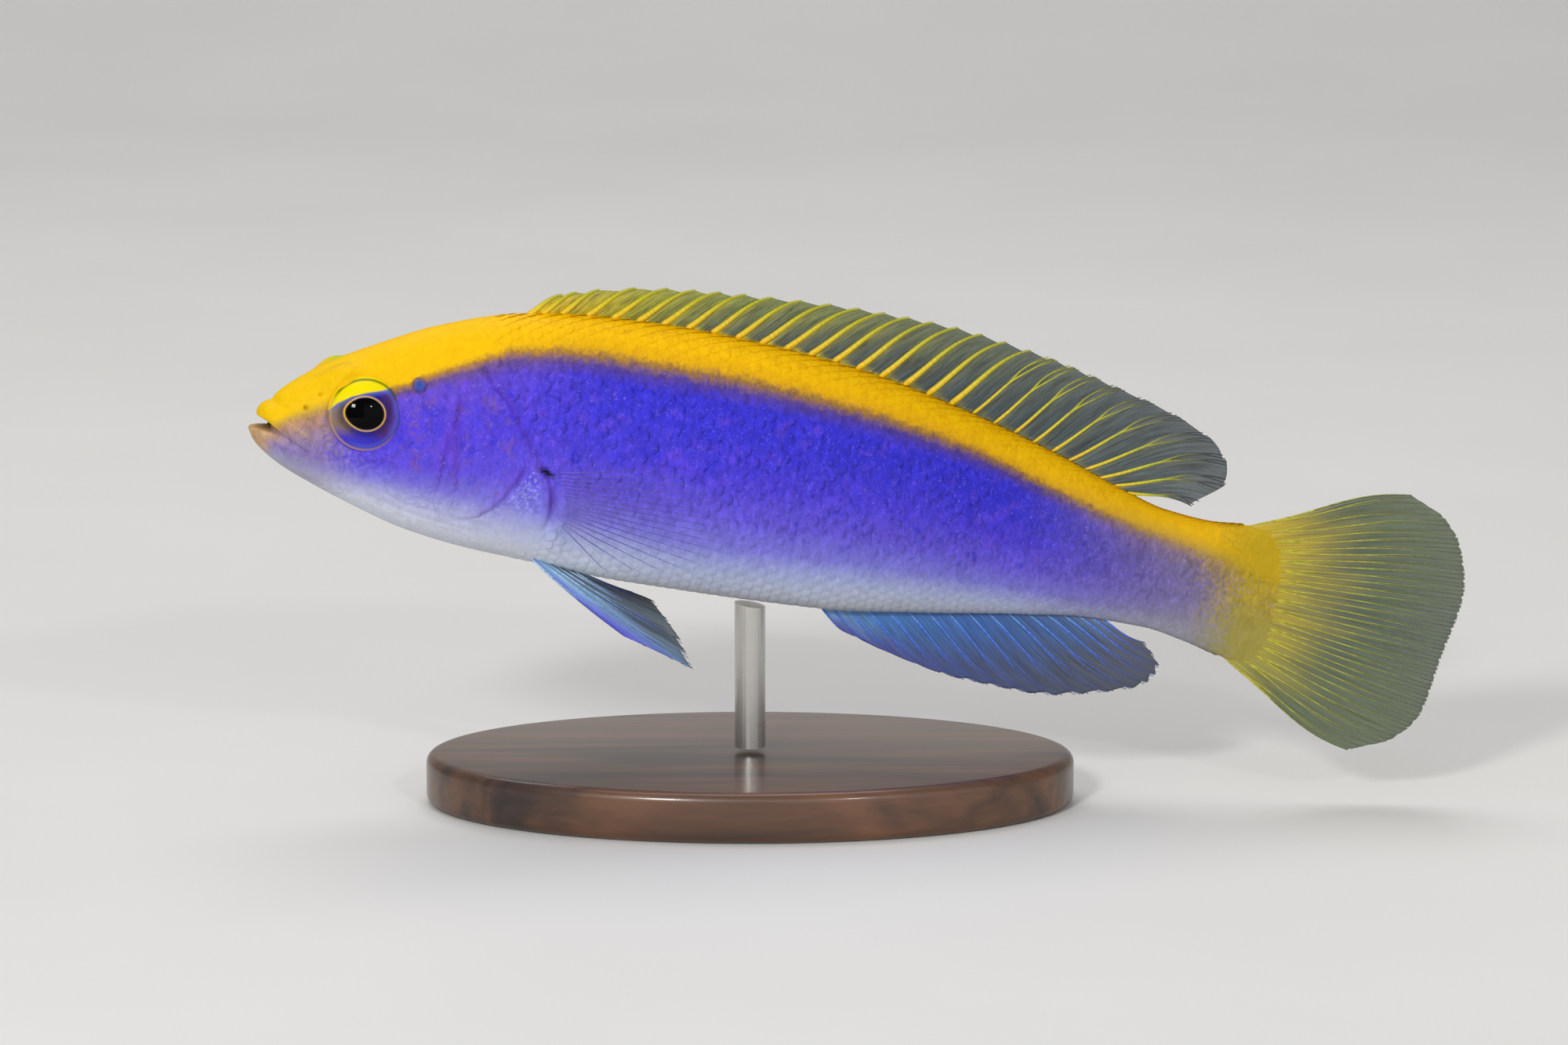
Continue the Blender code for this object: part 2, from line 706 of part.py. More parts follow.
rod = bmesh.new()
bmesh.ops.create_cone(
    rod, cap_ends=True, segments=ROD_SIDES, radius1=ROD_RADIUS * MM, radius2=ROD_RADIUS * MM,
    depth=ROD_LENGTH * MM,
)
belly_slope = math.tan(
    math.atan(belly_height(STAND_AT + 0.5) - belly_height(STAND_AT - 0.5)) - PITCH
)
for vertex in rod.verts:
    if vertex.co.z > 0:
        vertex.co.z += vertex.co.x * belly_slope
    vertex.co.z += (BASE_HEIGHT + GAP + ROD_LENGTH / 2) * MM
stand_rod = add_object("stand_rod", mesh_from(rod, "stand_rod"), fish)

# Materials, coloured from the living fish.
YELLOW, VIOLET, PALE = (1.0, 0.62, 0.0), (0.13, 0.07, 0.62), (0.5, 0.52, 0.66)
FINISHES = {
    "head": ("head_skin", VIOLET, 0.45),
    "lower_jaw": ("jaw_skin", PALE, 0.45),
    "gill_cover_left": ("gill_cover_skin_left", VIOLET, 0.45),
    "gill_cover_right": ("gill_cover_skin_right", VIOLET, 0.45),
    "eye_left": ("eye_left", (0.02, 0.02, 0.03), 0.08),
    "eye_right": ("eye_right", (0.02, 0.02, 0.03), 0.08),
    "trunk": ("trunk_skin", VIOLET, 0.45),
    "tail_stalk": ("tail_stalk_skin", (0.5, 0.35, 0.3), 0.45),
    "dorsal_fin": ("dorsal_fin_skin", YELLOW, 0.5),
    "anal_fin": ("anal_fin_skin", (0.1, 0.18, 0.6), 0.5),
    "tail_fin": ("tail_fin_skin", (0.45, 0.45, 0.05), 0.5),
    "pectoral_fin_left": ("pectoral_skin_left", (0.4, 0.35, 0.7), 0.5),
    "pectoral_fin_right": ("pectoral_skin_right", (0.4, 0.35, 0.7), 0.5),
    "pelvic_fin_left": ("pelvic_skin_left", (0.2, 0.3, 0.7), 0.5),
    "pelvic_fin_right": ("pelvic_skin_right", (0.2, 0.3, 0.7), 0.5),
    "stand_base": ("base_dark_wood", (0.05, 0.03, 0.02), 0.4),
    "stand_rod": ("rod_steel", (0.6, 0.6, 0.6), 0.3, 1.0),
}
for name, finish in FINISHES.items():
    piece = bpy.data.objects[name]
    piece.data.materials.clear()
    piece.data.materials.append(material(*finish))
    piece.data.shade_smooth()
    piece.data.set_sharp_from_angle(angle=math.radians(40))
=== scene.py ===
import math

import bmesh
import bpy
import numpy as np
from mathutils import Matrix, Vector


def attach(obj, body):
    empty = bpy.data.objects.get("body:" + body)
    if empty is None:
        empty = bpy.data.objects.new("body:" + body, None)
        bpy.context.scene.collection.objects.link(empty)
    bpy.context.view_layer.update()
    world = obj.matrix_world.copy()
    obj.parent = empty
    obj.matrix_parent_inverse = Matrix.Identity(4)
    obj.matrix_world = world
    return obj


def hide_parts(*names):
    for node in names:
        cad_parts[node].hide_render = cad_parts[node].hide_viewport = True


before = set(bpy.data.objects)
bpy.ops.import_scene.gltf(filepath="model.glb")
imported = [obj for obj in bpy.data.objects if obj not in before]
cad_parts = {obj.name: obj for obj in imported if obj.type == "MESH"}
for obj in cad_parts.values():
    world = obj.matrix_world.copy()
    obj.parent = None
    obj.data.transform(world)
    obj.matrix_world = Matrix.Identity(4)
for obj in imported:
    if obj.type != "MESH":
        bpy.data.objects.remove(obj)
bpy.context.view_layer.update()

# The skin. One unbroken hide over head, gill covers, trunk and tail stalk: thin, wet and satin,
# with lips, nostrils, gill openings and eye sockets worked into it. Its sizes are millimetres on
# the straight, level fish: s runs back from the jaw's tip, y to the fish's right and h up.
BODY = np.array(  # station, back, belly, half width, height of the widest line in the depth
    [
        [0.0, 0.42, 0.36, 0.05, 0.50],
        [0.15, 1.00, -0.34, 0.55, 0.50],
        [0.4, 1.46, -0.67, 0.85, 0.50],
        [1.0, 2.16, -1.15, 1.25, 0.48],
        [2.0, 3.10, -1.75, 1.70, 0.47],
        [4.0, 4.57, -2.62, 2.35, 0.45],
        [6.5, 5.92, -3.57, 2.95, 0.43],
        [10.0, 7.51, -4.63, 3.55, 0.42],
        [14.0, 8.67, -5.27, 4.00, 0.42],
        [18.0, 9.20, -5.58, 4.20, 0.43],
        [23.0, 9.33, -5.98, 4.20, 0.45],
        [29.0, 9.07, -6.05, 3.95, 0.46],
        [35.0, 8.45, -5.90, 3.50, 0.47],
        [41.0, 7.25, -5.14, 2.80, 0.48],
        [47.0, 5.64, -4.15, 2.05, 0.49],
        [51.0, 4.36, -3.62, 1.55, 0.50],
        [54.0, 3.57, -3.58, 1.20, 0.50],
        [56.5, 3.40, -3.92, 0.95, 0.50],
        [58.5, 3.58, -4.36, 0.62, 0.50],
        [59.8, 3.66, -4.58, 0.34, 0.49],
        [61.0, 3.20, -4.20, 0.16, 0.49],
        [62.0, 1.90, -3.00, 0.06, 0.49],
    ]
)
BACK_POWER, BELLY_POWER = 1.12, 0.9  # how the section narrows above and below its widest line
HEAD_HEADING, TAIL_HEADING = math.radians(16), math.radians(-4)
BEND_START, BEND_END = 12.0, 58.0  # stations between which the heading changes
PITCH = math.radians(10.6)
STAND_AT, ROD_TOP, GAP = 31.0, 11.8, 0.3  # the rod's station and height, and the belly's gap
RINGS, AROUND, RING_CROWDING = 400, 240, 1.8  # of the skin's mesh, which is finest at the snout
COAT_DEPTH = 0.07  # the skin lies so far inside the flesh, and the scales fill the rest
MOUTH = [(-1.0, 0.62), (0.45, 0.52), (1.0, 0.38), (1.63, 0.17), (3.05, -0.5), (3.7, -1.0)]
GILL_EDGE = [(-6.6, 14.8), (-5.0, 15.6), (-3.8, 16.6), (-2.4, 17.2), (-1.2, 17.1), (0.2, 16.7),
             (1.2, 15.9), (2.41, 14.92), (4.14, 13.67), (5.4, 12.4), (6.9, 12.1), (10.5, 13.3)]
GILL_COVER = [(-3.4, 11.6), (-2.77, 13.0), (-1.83, 14.03), (-0.51, 14.74), (0.73, 15.2), (2.0, 15.25),
              (2.9, 14.58), (4.49, 13.3), (5.4, 12.4), (10.5, 13.3)]
CHEEK_FOLD = [(-2.4, 10.8), (-0.87, 10.54), (0.6, 10.54), (2.05, 10.72), (3.3, 10.95), (5.0, 11.0)]
EYE_PLACE, EYE_RADIUS, EYE_HALF_DEPTH = (5.95, 2.1, 1.95), 2.2, 1.35
NOSTRILS = [(2.6, 2.0, 0.13), (3.3, 2.85, 0.09)]  # station, height, radius
YELLOW_LINE = np.array(  # station and height where the yellow back ends
    [
        [-1.0, 0.5], [1.0, 0.75], [2.0, 1.3], [3.0, 1.85], [4.5, 2.6], [7.8, 4.15], [11.4, 5.9],
        [14.1, 6.9], [18.0, 7.35], [25.0, 7.2], [34.0, 6.5], [42.0, 5.2], [48.0, 3.5],
        [52.0, 2.5], [57.0, 1.6], [61.0, 0.6],
    ]
)
BELLY_LINE = np.array(  # station and height where the pale belly ends
    [
        [0.0, -0.6], [4.0, -1.6], [8.0, -2.1], [17.5, -3.05], [27.0, -3.95], [37.0, -3.55],
        [44.0, -3.3], [50.0, -3.2], [56.0, -2.6], [61.0, -2.2],
    ]
)


def curve_through(table, at, column=1):
    """A table's column read along a curve that never overshoots it; its first column is the place."""
    table = np.asarray(table, float)
    knots, values, at = table[:, 0], table[:, column], np.asarray(at, float)
    spans = np.diff(knots)
    slopes = np.diff(values) / spans
    before, after = slopes[:-1], slopes[1:]
    first, second = 2 * spans[1:] + spans[:-1], spans[1:] + 2 * spans[:-1]
    same = before * after > 0
    blend = first * np.where(same, after, 1) + second * np.where(same, before, 1)
    inner = np.where(same, (first + second) * before * after / np.where(same, blend, 1), 0)
    tangents = np.concatenate([slopes[:1], inner, slopes[-1:]])
    i = np.clip(np.searchsorted(knots, at, side="right") - 1, 0, len(spans) - 1)
    t = np.clip((at - knots[i]) / spans[i], 0, 1)
    start = (1 + 2 * t) * (1 - t) ** 2 * values[i] + t * (1 - t) ** 2 * spans[i] * tangents[i]
    end = t * t * (3 - 2 * t) * values[i + 1] + t * t * (t - 1) * spans[i] * tangents[i + 1]
    return start + end


def body_at(s):
    """Back, belly, half width and height of the widest line at each station."""
    s = np.clip(s, 0, BODY[-1, 0])
    back, belly, half_width, share = (curve_through(BODY, s, column) for column in (1, 2, 3, 4))
    return back, belly, half_width, belly + share * (back - belly)


def girth_at(s):
    back, belly, half_width, _ = body_at(s)
    return math.pi * ((back - belly) / 2 + half_width) * 0.97


def heading(s):
    t = np.clip((s - BEND_START) / (BEND_END - BEND_START), 0, 1)
    return HEAD_HEADING + (TAIL_HEADING - HEAD_HEADING) * t * t * (3 - 2 * t)


STRIDE = 0.25
STATIONS = np.arange(-2, 75, STRIDE)
HALFWAY = heading(STATIONS)[1:] / 2 + heading(STATIONS)[:-1] / 2
RUN = np.concatenate([[0], np.cumsum(np.cos(HALFWAY)) * STRIDE])
OFFSET = np.concatenate([[0], np.cumsum(np.sin(HALFWAY)) * STRIDE])
RUN -= np.interp(STAND_AT, STATIONS, RUN)
OFFSET -= np.interp(STAND_AT, STATIONS, OFFSET)
HELD_BY = float(body_at(STAND_AT)[1])  # height of the belly over the rod


def to_row(level):
    """Points of the level fish, bent, pitched and set over the stand, in metres."""
    s, y, h = np.asarray(level, float).reshape(-1, 3).T
    turn = heading(s)
    x = np.interp(s, STATIONS, RUN) - y * np.sin(turn)
    y = np.interp(s, STATIONS, OFFSET) + y * np.cos(turn)
    across = (h - HELD_BY) * math.sin(PITCH)
    rise = (h - HELD_BY) * math.cos(PITCH)
    return np.stack(
        [x * math.cos(PITCH) + across, y, ROD_TOP + GAP + rise - x * math.sin(PITCH)], axis=1
    ) / 1000


def hump(distance, width):
    return np.exp(-((distance / width) ** 2))


def over(value, start, width):
    """Goes smoothly from 0 before start to 1 a width after it."""
    t = np.clip((value - start) / width, 0, 1)
    return t * t * (3 - 2 * t)


def window(value, start, rise, end, fall):
    """1 from start to end and 0 beyond them, with soft edges as wide as rise and fall."""
    return over(value, start, rise) * (1 - over(value, end, fall))


def mouth_height(s):
    return np.interp(s, *np.array(MOUTH).T)


def gill_station(h):
    return curve_through(GILL_EDGE, np.clip(h, -6.6, 10.5))


def cover_station(h):
    return curve_through(GILL_COVER, np.clip(h, -3.4, 10.5))


def folds(s, h):
    """Distances behind the cheek's two folds, which part downwards."""
    fold = s - curve_through(CHEEK_FOLD, np.clip(h, -2.4, 5.0))
    return fold, fold - np.interp(h, [-1.3, 3.2], [1.05, 0.15])


def mouth_slot(s, h):
    """1 within the opening between the lips, 0 away from it."""
    width = 0.05 + 0.22 * (1 - over(s, 0.1, 1.6))
    return np.exp(-(((h - mouth_height(s)) / width) ** 4)) * (1 - over(s, 2.9, 0.5))


def axil(s, h):
    """1 in the short dark slit over the root of the pectoral fin."""
    return hump(s - 16.62, 0.5) * hump(h - 0.48 + 0.38 * (s - 16.62), 0.15)


def eye_distance(s, h):
    return np.hypot(s - EYE_PLACE[0], h - EYE_PLACE[1])


def fin_lobe(s, h):
    """Height of the fleshy lobe that carries the pectoral fin."""
    return 0.4 * hump(s - 17.9, 0.9) * hump(h + 1.3, 2.0)


def relief(s, y, h):
    """How far the skin stands out from, or lies under, the plain body."""
    side = over(np.abs(y), 0.5, 0.6)
    above = h - mouth_height(s)
    # Two lips with the mouth between them; the upper one swells at its tip, over a notch.
    raised = (1 - over(s, 2.0, 1.4)) * (0.2 * hump(above - 0.5, 0.36) + 0.14 * hump(above + 0.45, 0.3))
    raised += 0.42 * hump(above - 0.95, 0.4) * hump(s - 0.35, 0.45)
    raised -= 0.18 * hump(above - 1.55, 0.22) * hump(s - 1.0, 0.7)
    raised -= (0.12 + 1.3 * (1 - over(s, 0.3, 1.3))) * mouth_slot(s, h)
    # The bone of the upper jaw, and the swelling between it and the eye.
    jawbone = above + 0.12 * over(s, 1.4, 1)
    flank = 0.12 * hump(jawbone - 0.42, 0.36) * window(s, 1.2, 0.8, 3.0, 0.5)
    flank += 0.7 * hump(s - 4.2, 1.1) * hump(h - 4.0, 0.9)
    # Nostrils with raised rims, and the eye's socket with a ring of skin round it.
    for station, height, radius in NOSTRILS:
        away = np.hypot(s - station, h - height)
        flank += 0.06 * hump(away - radius * 1.3, radius * 0.5) - 0.3 * hump(away, radius)
    away = eye_distance(s, h)
    flank += 0.07 * hump(away - 2.42, 0.25) - 0.13 * hump(away - 2.12, 0.12)
    flank -= 0.7 * (1 - over(away, 1.5, 0.45))
    # The free edge of the gill cover, the bone's edge before it, and two folds of the cheek.
    behind, past = s - gill_station(h), s - cover_station(h)
    edge = 0.13 * hump(behind, 1.2) * (1 - over(behind, -0.12, 0.3)) - 0.12 * hump(behind - 0.14, 0.16)
    flank += window(h, -3.2, 1.0, 5.6, 1.6) * edge
    edge = 0.09 * hump(past, 1.1) * (1 - over(past, -0.15, 0.4)) - 0.05 * hump(past - 0.16, 0.16)
    flank += window(h, -3.3, 0.7, 0.6, 1.2) * edge
    for fold, height in zip(folds(s, h), (0.07, 0.09)):
        rolled = hump(fold + 0.25, 0.32) - hump(fold - 0.08, 0.24)
        flank += window(h, -1.9, 1.2, 3.6, 1.2) * height * rolled
    # Round the pectoral fin's root: its lobe, its slit, and a flap of the gill cover.
    flank += fin_lobe(s, h) - 0.3 * axil(s, h)
    flank += (0.14 * hump(behind + 0.22, 0.24) - 0.16 * hump(behind - 0.2, 0.16)) * hump(h + 1.1, 1.1)
    # Three creases along the throat.
    over_throat = h - body_at(s)[1] - 0.04 * s
    for row in (0.9, 1.45, 2.0):
        flank -= 0.05 * hump(over_throat - row, 0.09) * window(s, 6, 2, 12, 3)
    return raised + side * flank


def skin_level(s, turn):
    """The skin on the level fish; turn runs round the body from the back towards its right."""
    back, belly, half_width, middle = body_at(s)
    up, out = np.cos(turn), np.sin(turn)
    h = middle + up * np.where(up > 0, back - middle, middle - belly)
    y = half_width * np.sign(out) * np.abs(out) ** np.where(up > 0, BACK_POWER, BELLY_POWER)
    raised = relief(s, y, h) - COAT_DEPTH * over(s, 2.5, 4)
    forward = hump(s, 0.7)
    setback = np.where(h > mouth_height(s), 0.22 * hump(s, 0.9), 0)
    return np.stack(
        [
            s - raised * forward * np.where(h > mouth_height(s), 0.6, 1.0) + setback,
            y + raised * (1 - forward) * out,
            h + raised * (1 - forward) * up * 0.6,
        ],
        axis=-1,
    )


def write_attributes(mesh, **fields):
    """Keeps numbers or vectors with a mesh's points, each under its own name."""
    for name, values in fields.items():
        kind, key = ("FLOAT", "value") if values.ndim == 1 else ("FLOAT_VECTOR", "vector")
        attribute = mesh.attributes.new(name, kind, "POINT")
        attribute.data.foreach_set(key, np.ascontiguousarray(values, np.float32).ravel())


def write_markings(mesh, s, y, h):
    """The fish's markings at each point, which the skin and its scales share."""
    yellow = curve_through(YELLOW_LINE, s)
    belly = curve_through(BELLY_LINE, np.clip(s, 0, 61))
    band = (h - belly) / (yellow - belly)
    side = over(np.abs(y), 0.5, 0.6)
    above = h - mouth_height(s)
    behind, past = s - gill_station(h), s - cover_station(h)
    # Painted shade: black in the open mouth, the slit over the pectoral fin and the nostrils.
    hollow = 0.85 * mouth_slot(s, h) * (1 - over(s, 0.45, 0.9)) + 1.6 * side * axil(s, h)
    for strength, (station, height, radius) in zip((0.4, 0.12), NOSTRILS):
        hollow += strength * side * hump(np.hypot(s - station, h - height), radius * 0.8)
    # Painted shade and light: dark violet lines in the grooves under edges and folds, where shade
    # falls, and painted light as lighter violet on the raised ridges before them.
    line = 0.65 * hump(behind - 0.1, 0.2) * window(h, 0.4, 0.9, 5, 1.6)
    line += 0.6 * hump(past - 0.08, 0.2) * window(h, -3.2, 1, 0, 1.4)
    line += hump(behind - 0.08, 0.3) * hump(h + 1.1, 0.95)
    ridge = 0.6 * hump(past + 0.25, 0.25) * window(h, -3.2, 1, 0, 1.4)
    for fold, height, width in zip(folds(s, h), (1.2, 1.0), (0.2, 0.22)):
        line += 0.5 * hump(fold - 0.06, 0.18) * window(h, -1.6, 1, 3.2, 1)
        ridge += hump(fold + width, width) * hump(h - height, 1.8)
    # Rosy brown on the cheek, and pale scales with a frosty bloom behind it.
    blush = 0.6 * hump(s - 8.62, 0.22) * hump(h - 2.3, 1.5) + 0.5 * hump(np.hypot(s - 7.6, h), 0.4)
    blush += 0.45 * hump(behind + 0.3, 0.3) * hump(h - 1.0, 1.2)
    cheek = side * over(s, 7.5, 0.8) * (1 - over(past, -0.6, 0.5)) * over(h, -1.8, 1)
    frost = side * over(past, 0.25, 0.3) * (1 - over(behind, -0.75, 0.3)) * over(h, -2.6, 1)
    # The tan tip and edge of the lower jaw; the upper lip is as yellow as the back.
    jaw = 0.85 * (1 - over(s, 0.7, 1.3)) * (1 - over(-above, 0.35, 0.3))
    jaw = np.maximum(jaw, 1 - over(s, 0.4, 1.1)) * over(-above, 0, 0.3)
    jaw += 0.6 * side * hump(above - 0.86, 0.09) * window(s, 1.2, 0.6, 2.6, 0.6)
    lip = (1 - over(s, 0.5, 1.2)) * over(above, 0, 0.1)
    # A blue pore in a dark ring behind the eye, and lime green over the far eye.
    from_pore = np.hypot(s - 8.67, h - 4.32)
    brow = 0.6 * hump(eye_distance(s, h) - 2.4, 0.35) * over(h - EYE_PLACE[1], 0.8, 0.8)
    lime = over(y, 0, 0.4) * np.maximum(brow, hump(s - 4.7, 1.1) * hump(h - 4.7, 0.5))
    write_attributes(
        mesh, level=np.stack([s, y, h], axis=1), band=band + np.clip(1.1 - band, 0, None) * lip,
        hollow=np.clip(hollow, 0, 1), line=np.clip(side * line, 0, 1),
        blush=np.clip(side * blush, 0, 1), ridge=side * np.clip(ridge, 0, 1),
        jaw=np.clip(jaw, 0, 1), frost=frost, lime=lime, cheek=cheek * (1 - over(band, 0.8, 0.2)),
        pore=side * (1 - over(from_pore, 0.24, 0.1)), moat=side * hump(from_pore - 0.36, 0.08),
    )


def add_piece(name, mesh, material=None):
    piece = bpy.data.objects.new(name, mesh)
    bpy.context.scene.collection.objects.link(piece)
    if material:
        mesh.materials.append(material)
    mesh.shade_smooth()
    return piece


def linear(colour):
    """An sRGB hex colour as linear red, green, blue and alpha."""
    parts = np.array([int(colour[i:i + 2], 16) / 255 for i in (0, 2, 4)])
    return (*np.where(parts > 0.04045, ((parts + 0.055) / 1.055) ** 2.4, parts / 12.92), 1.0)


def new_finish(name):
    """A new material, with its node tree and its shader."""
    material = bpy.data.materials.new(name)
    material.use_nodes = True
    return material, material.node_tree, material.node_tree.nodes["Principled BSDF"]


def wire(node, inputs):
    """Sets inputs to values, or links them to sockets or to the first outputs of nodes."""
    for name, value in inputs.items():
        value = value.outputs[0] if isinstance(value, bpy.types.Node) else value
        if isinstance(value, bpy.types.NodeSocket):
            node.id_data.links.new(value, node.inputs[name])
        else:
            node.inputs[name].default_value = value


def add_node(tree, kind, inputs={}, stops=(), **settings):
    """Adds a node, a shader's unless its kind says more; stops are a ramp's places and colours."""
    node = tree.nodes.new(kind if "Node" in kind else "ShaderNode" + kind)
    for name, value in settings.items():
        setattr(node, name, value)
    wire(node, inputs)
    for index, (place, colour) in enumerate(stops):
        ramp = node.color_ramp.elements
        element = ramp[index] if index < len(ramp) else ramp.new(place)
        element.position, element.color = place, linear(colour)
    return node


def lay_over(tree, colour, layers):
    """Lays tints over a colour in turn, each as strongly as the product of its shares."""
    for (share, *others), tint in layers:
        for other in others:
            share = add_node(tree, "Math", {0: share, 1: other}, operation="MULTIPLY")
        tint = linear(tint) if isinstance(tint, str) else tint
        colour = add_node(tree, "Mix", {0: share, 6: colour, 7: tint}, data_type="RGBA").outputs[2]
    return colour


# Fish skin under wet slime: satin, faintly bumpy. The colour comes from where a point lies
# between the pale belly (band 0) and the yellow back (band 1), frayed at the scale's size.
skin_finish, tree, shader = new_finish("wet_fish_skin")
# Painted light and shade among these spots: the ridges' lighter violet is painted light; the violet
# lines and the black in the mouth, slit and nostrils are painted shade.
SPOTS = [("ridge", 0.4, "7c48c8"), ("blush", 0.7, "946488"), ("jaw", 0.85, "c8a060"),
         ("line", 0.7, "5830a0"), ("frost", 0.45, "a8b4ee"), ("lime", 0.9, "a8cc04"),
         ("moat", 0.8, "2c1c50"), ("pore", 0.9, "1c4ca4"), ("hollow", 1.0, "0a0508")]
level = add_node(tree, "Attribute", attribute_name="level").outputs["Vector"]
station = add_node(tree, "SeparateXYZ", {"Vector": level})
marks = {
    name: add_node(tree, "Attribute", attribute_name=name).outputs["Fac"]
    for name in ["band", "cheek", "rim"] + [spot[0] for spot in SPOTS]
}
coarse = add_node(tree, "TexNoise", {"Vector": level, "Scale": 1.15, "Detail": 2.0})
fine = add_node(tree, "TexNoise", {"Vector": level, "Scale": 4.5, "Detail": 4.0})
frayed = marks["band"]
for noise, share in ((coarse, 0.04), (fine, 0.06)):
    frayed = add_node(tree, "Math", {0: noise, 1: share, 2: frayed}, operation="MULTIPLY_ADD")
BAND_FROM, BAND_TO, FRAY = -0.2, 1.2, 0.05  # the ramps' reach in bands, and the fraying's mean
in_ramp = add_node(
    tree, "MapRange", {"Value": frayed, "From Min": BAND_FROM + FRAY, "From Max": BAND_TO + FRAY}
)
FLANK = [(-0.18, "d8e0ea"), (-0.02, "b2bce2"), (0.12, "8280dc"), (0.28, "685ad6"), (0.5, "4c3ed2"),
         (0.72, "3a34cc"), (0.88, "3832cc"), (0.95, "544094"), (1.0, "98703c"), (1.04, "e0a810"),
         (1.1, "f0ba04")]
CHEEK = [(-0.18, "ccd0de"), (0.0, "a2a2d4"), (0.12, "7870d2"), (0.28, "5c4ad4"), (0.6, "503ed4"),
         (0.88, "6448c8"), (0.95, "6c5088"), (1.0, "b08030"), (1.04, "f0bc04")]
SNOUT = [(-0.18, "a8a4b8"), (0.0, "9490b6"), (0.25, "8a78b2"), (0.42, "8e7aa2"), (0.6, "9a808a"),
         (0.8, "a88270"), (0.95, "b89054"), (1.03, "c8a03c"), (1.1, "dcb020"), (1.18, "ecbc08")]
STALK = [(-0.18, "8e8c9c"), (0.0, "867e92"), (0.25, "7c7298"), (0.5, "76698e"), (0.7, "7a6c86"),
         (0.85, "88726e"), (0.95, "a2845a"), (1.03, "be983a"), (1.1, "d0a424"), (1.18, "e2ae0c")]
TAIL_BASE = [(-0.1, "988c44"), (0.3, "a08e36"), (0.8, "aa9028"), (1.15, "b6981c")]
flank, *others = (
    add_node(
        tree, "ValToRGB", {"Fac": in_ramp},
        [((place - BAND_FROM) / (BAND_TO - BAND_FROM), colour) for place, colour in stops],
    )
    for stops in (FLANK, CHEEK, SNOUT, STALK, TAIL_BASE)
)
# The others come in over the flank between these stations, in ragged fronts: the station is
# shaken by the same noise.
FRONTS = [(24.0, 12.5), (9.2, 5.4), (46.5, 61.0), (58.5, 62.3)]
ragged = add_node(tree, "Math", {0: fine, 1: 5.0, 2: station}, operation="MULTIPLY_ADD")
fronts = (
    [add_node(
        tree, "MapRange", {"Value": ragged, "From Min": start, "From Max": end},
        interpolation_type="SMOOTHSTEP",
    )]
    for start, end in FRONTS
)
cheek, snout, stalk, tail_base = zip(fronts, others)
in_blue = add_node(
    tree, "ValToRGB", {"Fac": in_ramp},
    [(0.2, "000000"), (0.4, "ffffff"), (0.76, "ffffff"), (0.82, "000000")],
)
# Blotches of violet and of brighter blue a scale or two across lie in the blue, rosy brown clouds
# half a millimetre wide on the cheek, and painted glints, small highlights on the slime a tenth of a
# millimetre across, on both.
CLOUDS = [  # scale, detail, roughness and distortion, then start, end and strength, place and tint
    (1.1, 3.0, 0.6, 0.0, 0.56, 0.72, 0.6, in_blue, "6a48d8"),
    (1.1, 3.0, 0.6, 0.0, 0.44, 0.3, 0.6, in_blue, "2a2cc8"),
    (1.3, 3.0, 0.5, 1.0, 0.54, 0.72, 0.6, marks["cheek"], "7c548c"),
    # the last row paints glints: small painted highlights on the slime
    (7.0, 2.0, 0.5, 1.5, 0.6, 0.73, 0.4, in_blue, "9c94f0"),
]
clouds = []
for scale, detail, rough, twist, start, end, strength, there, tint in CLOUDS:
    noise = add_node(tree, "TexNoise", {"Vector": level, "Scale": scale, "Detail": detail,
                                        "Roughness": rough, "Distortion": twist})
    share = add_node(
        tree, "MapRange", {"Value": noise, "From Min": start, "From Max": end, "To Max": strength}
    )
    clouds.append(([share, there], tint))
violet, blue, rosy, glints = clouds
dots = add_node(tree, "TexVoronoi", {"Vector": level, "Scale": 5.0})
dots = add_node(tree, "MapRange", {"Value": dots, "From Min": 0.55, "From Max": 0.2})
spots = [
    ([marks[name], strength] + [dots] * (name in ("frost", "blush")), tint)
    for name, strength, tint in SPOTS
]
# Upright wisps of slime and pigment about 0.3 mm wide, lighter and darker than the skin. They
# grain the yellow behind the head with orange.
wisps = add_node(tree, "Mapping", {"Vector": level, "Scale": (1.0, 1.0, 0.6)})
wisps = add_node(tree, "TexNoise", {"Vector": wisps, "Scale": 2.3, "Detail": 5.0,
                                    "Roughness": 0.7, "Distortion": 0.8})
WISPY = [(wisps, 0.52, 0.34, 0.35), (in_ramp, 0.87, 0.94, 1.0), (station, 9.0, 17.0, 1.0),
         (station, 57.0, 51.0, 1.0)]
grain = [
    add_node(tree, "MapRange", {"Value": value, "From Min": start, "From Max": end, "To Max": most})
    for value, start, end, most in WISPY
]
colour = lay_over(
    tree, flank,
    [cheek, violet, blue, snout, rosy, stalk, tail_base, *spots, (grain, "dc8c04"), glints],
)
shade = add_node(
    tree, "MapRange",
    {"Value": wisps, "From Min": 0.3, "From Max": 0.7, "To Min": 0.68, "To Max": 1.28},
)
wispy = add_node(
    tree, "MapRange", {"Value": in_ramp, "From Min": 0.9, "From Max": 0.82, "To Min": 0.25}
)
pale = add_node(
    tree, "MapRange", {"Value": in_ramp, "From Min": 0.1, "From Max": 0.35, "To Min": 0.4}
)
smooth = add_node(tree, "MapRange", {"Value": marks["cheek"], "To Min": 1.0, "To Max": 0.6})
seen = add_node(tree, "MapRange", {"Value": coarse, "From Min": 0.42, "From Max": 0.62})
rim = marks["rim"]
for share, other in ((pale, in_blue), (smooth, seen)):
    wispy = add_node(tree, "Math", {0: wispy, 1: share}, operation="MULTIPLY")
    rim = add_node(tree, "Math", {0: rim, 1: other}, operation="MULTIPLY")
shade = add_node(tree, "Mix", {0: wispy, 2: 1.0, 3: shade})
rim = add_node(tree, "MapRange", {"Value": rim, "To Min": 1.0, "To Max": 0.5})
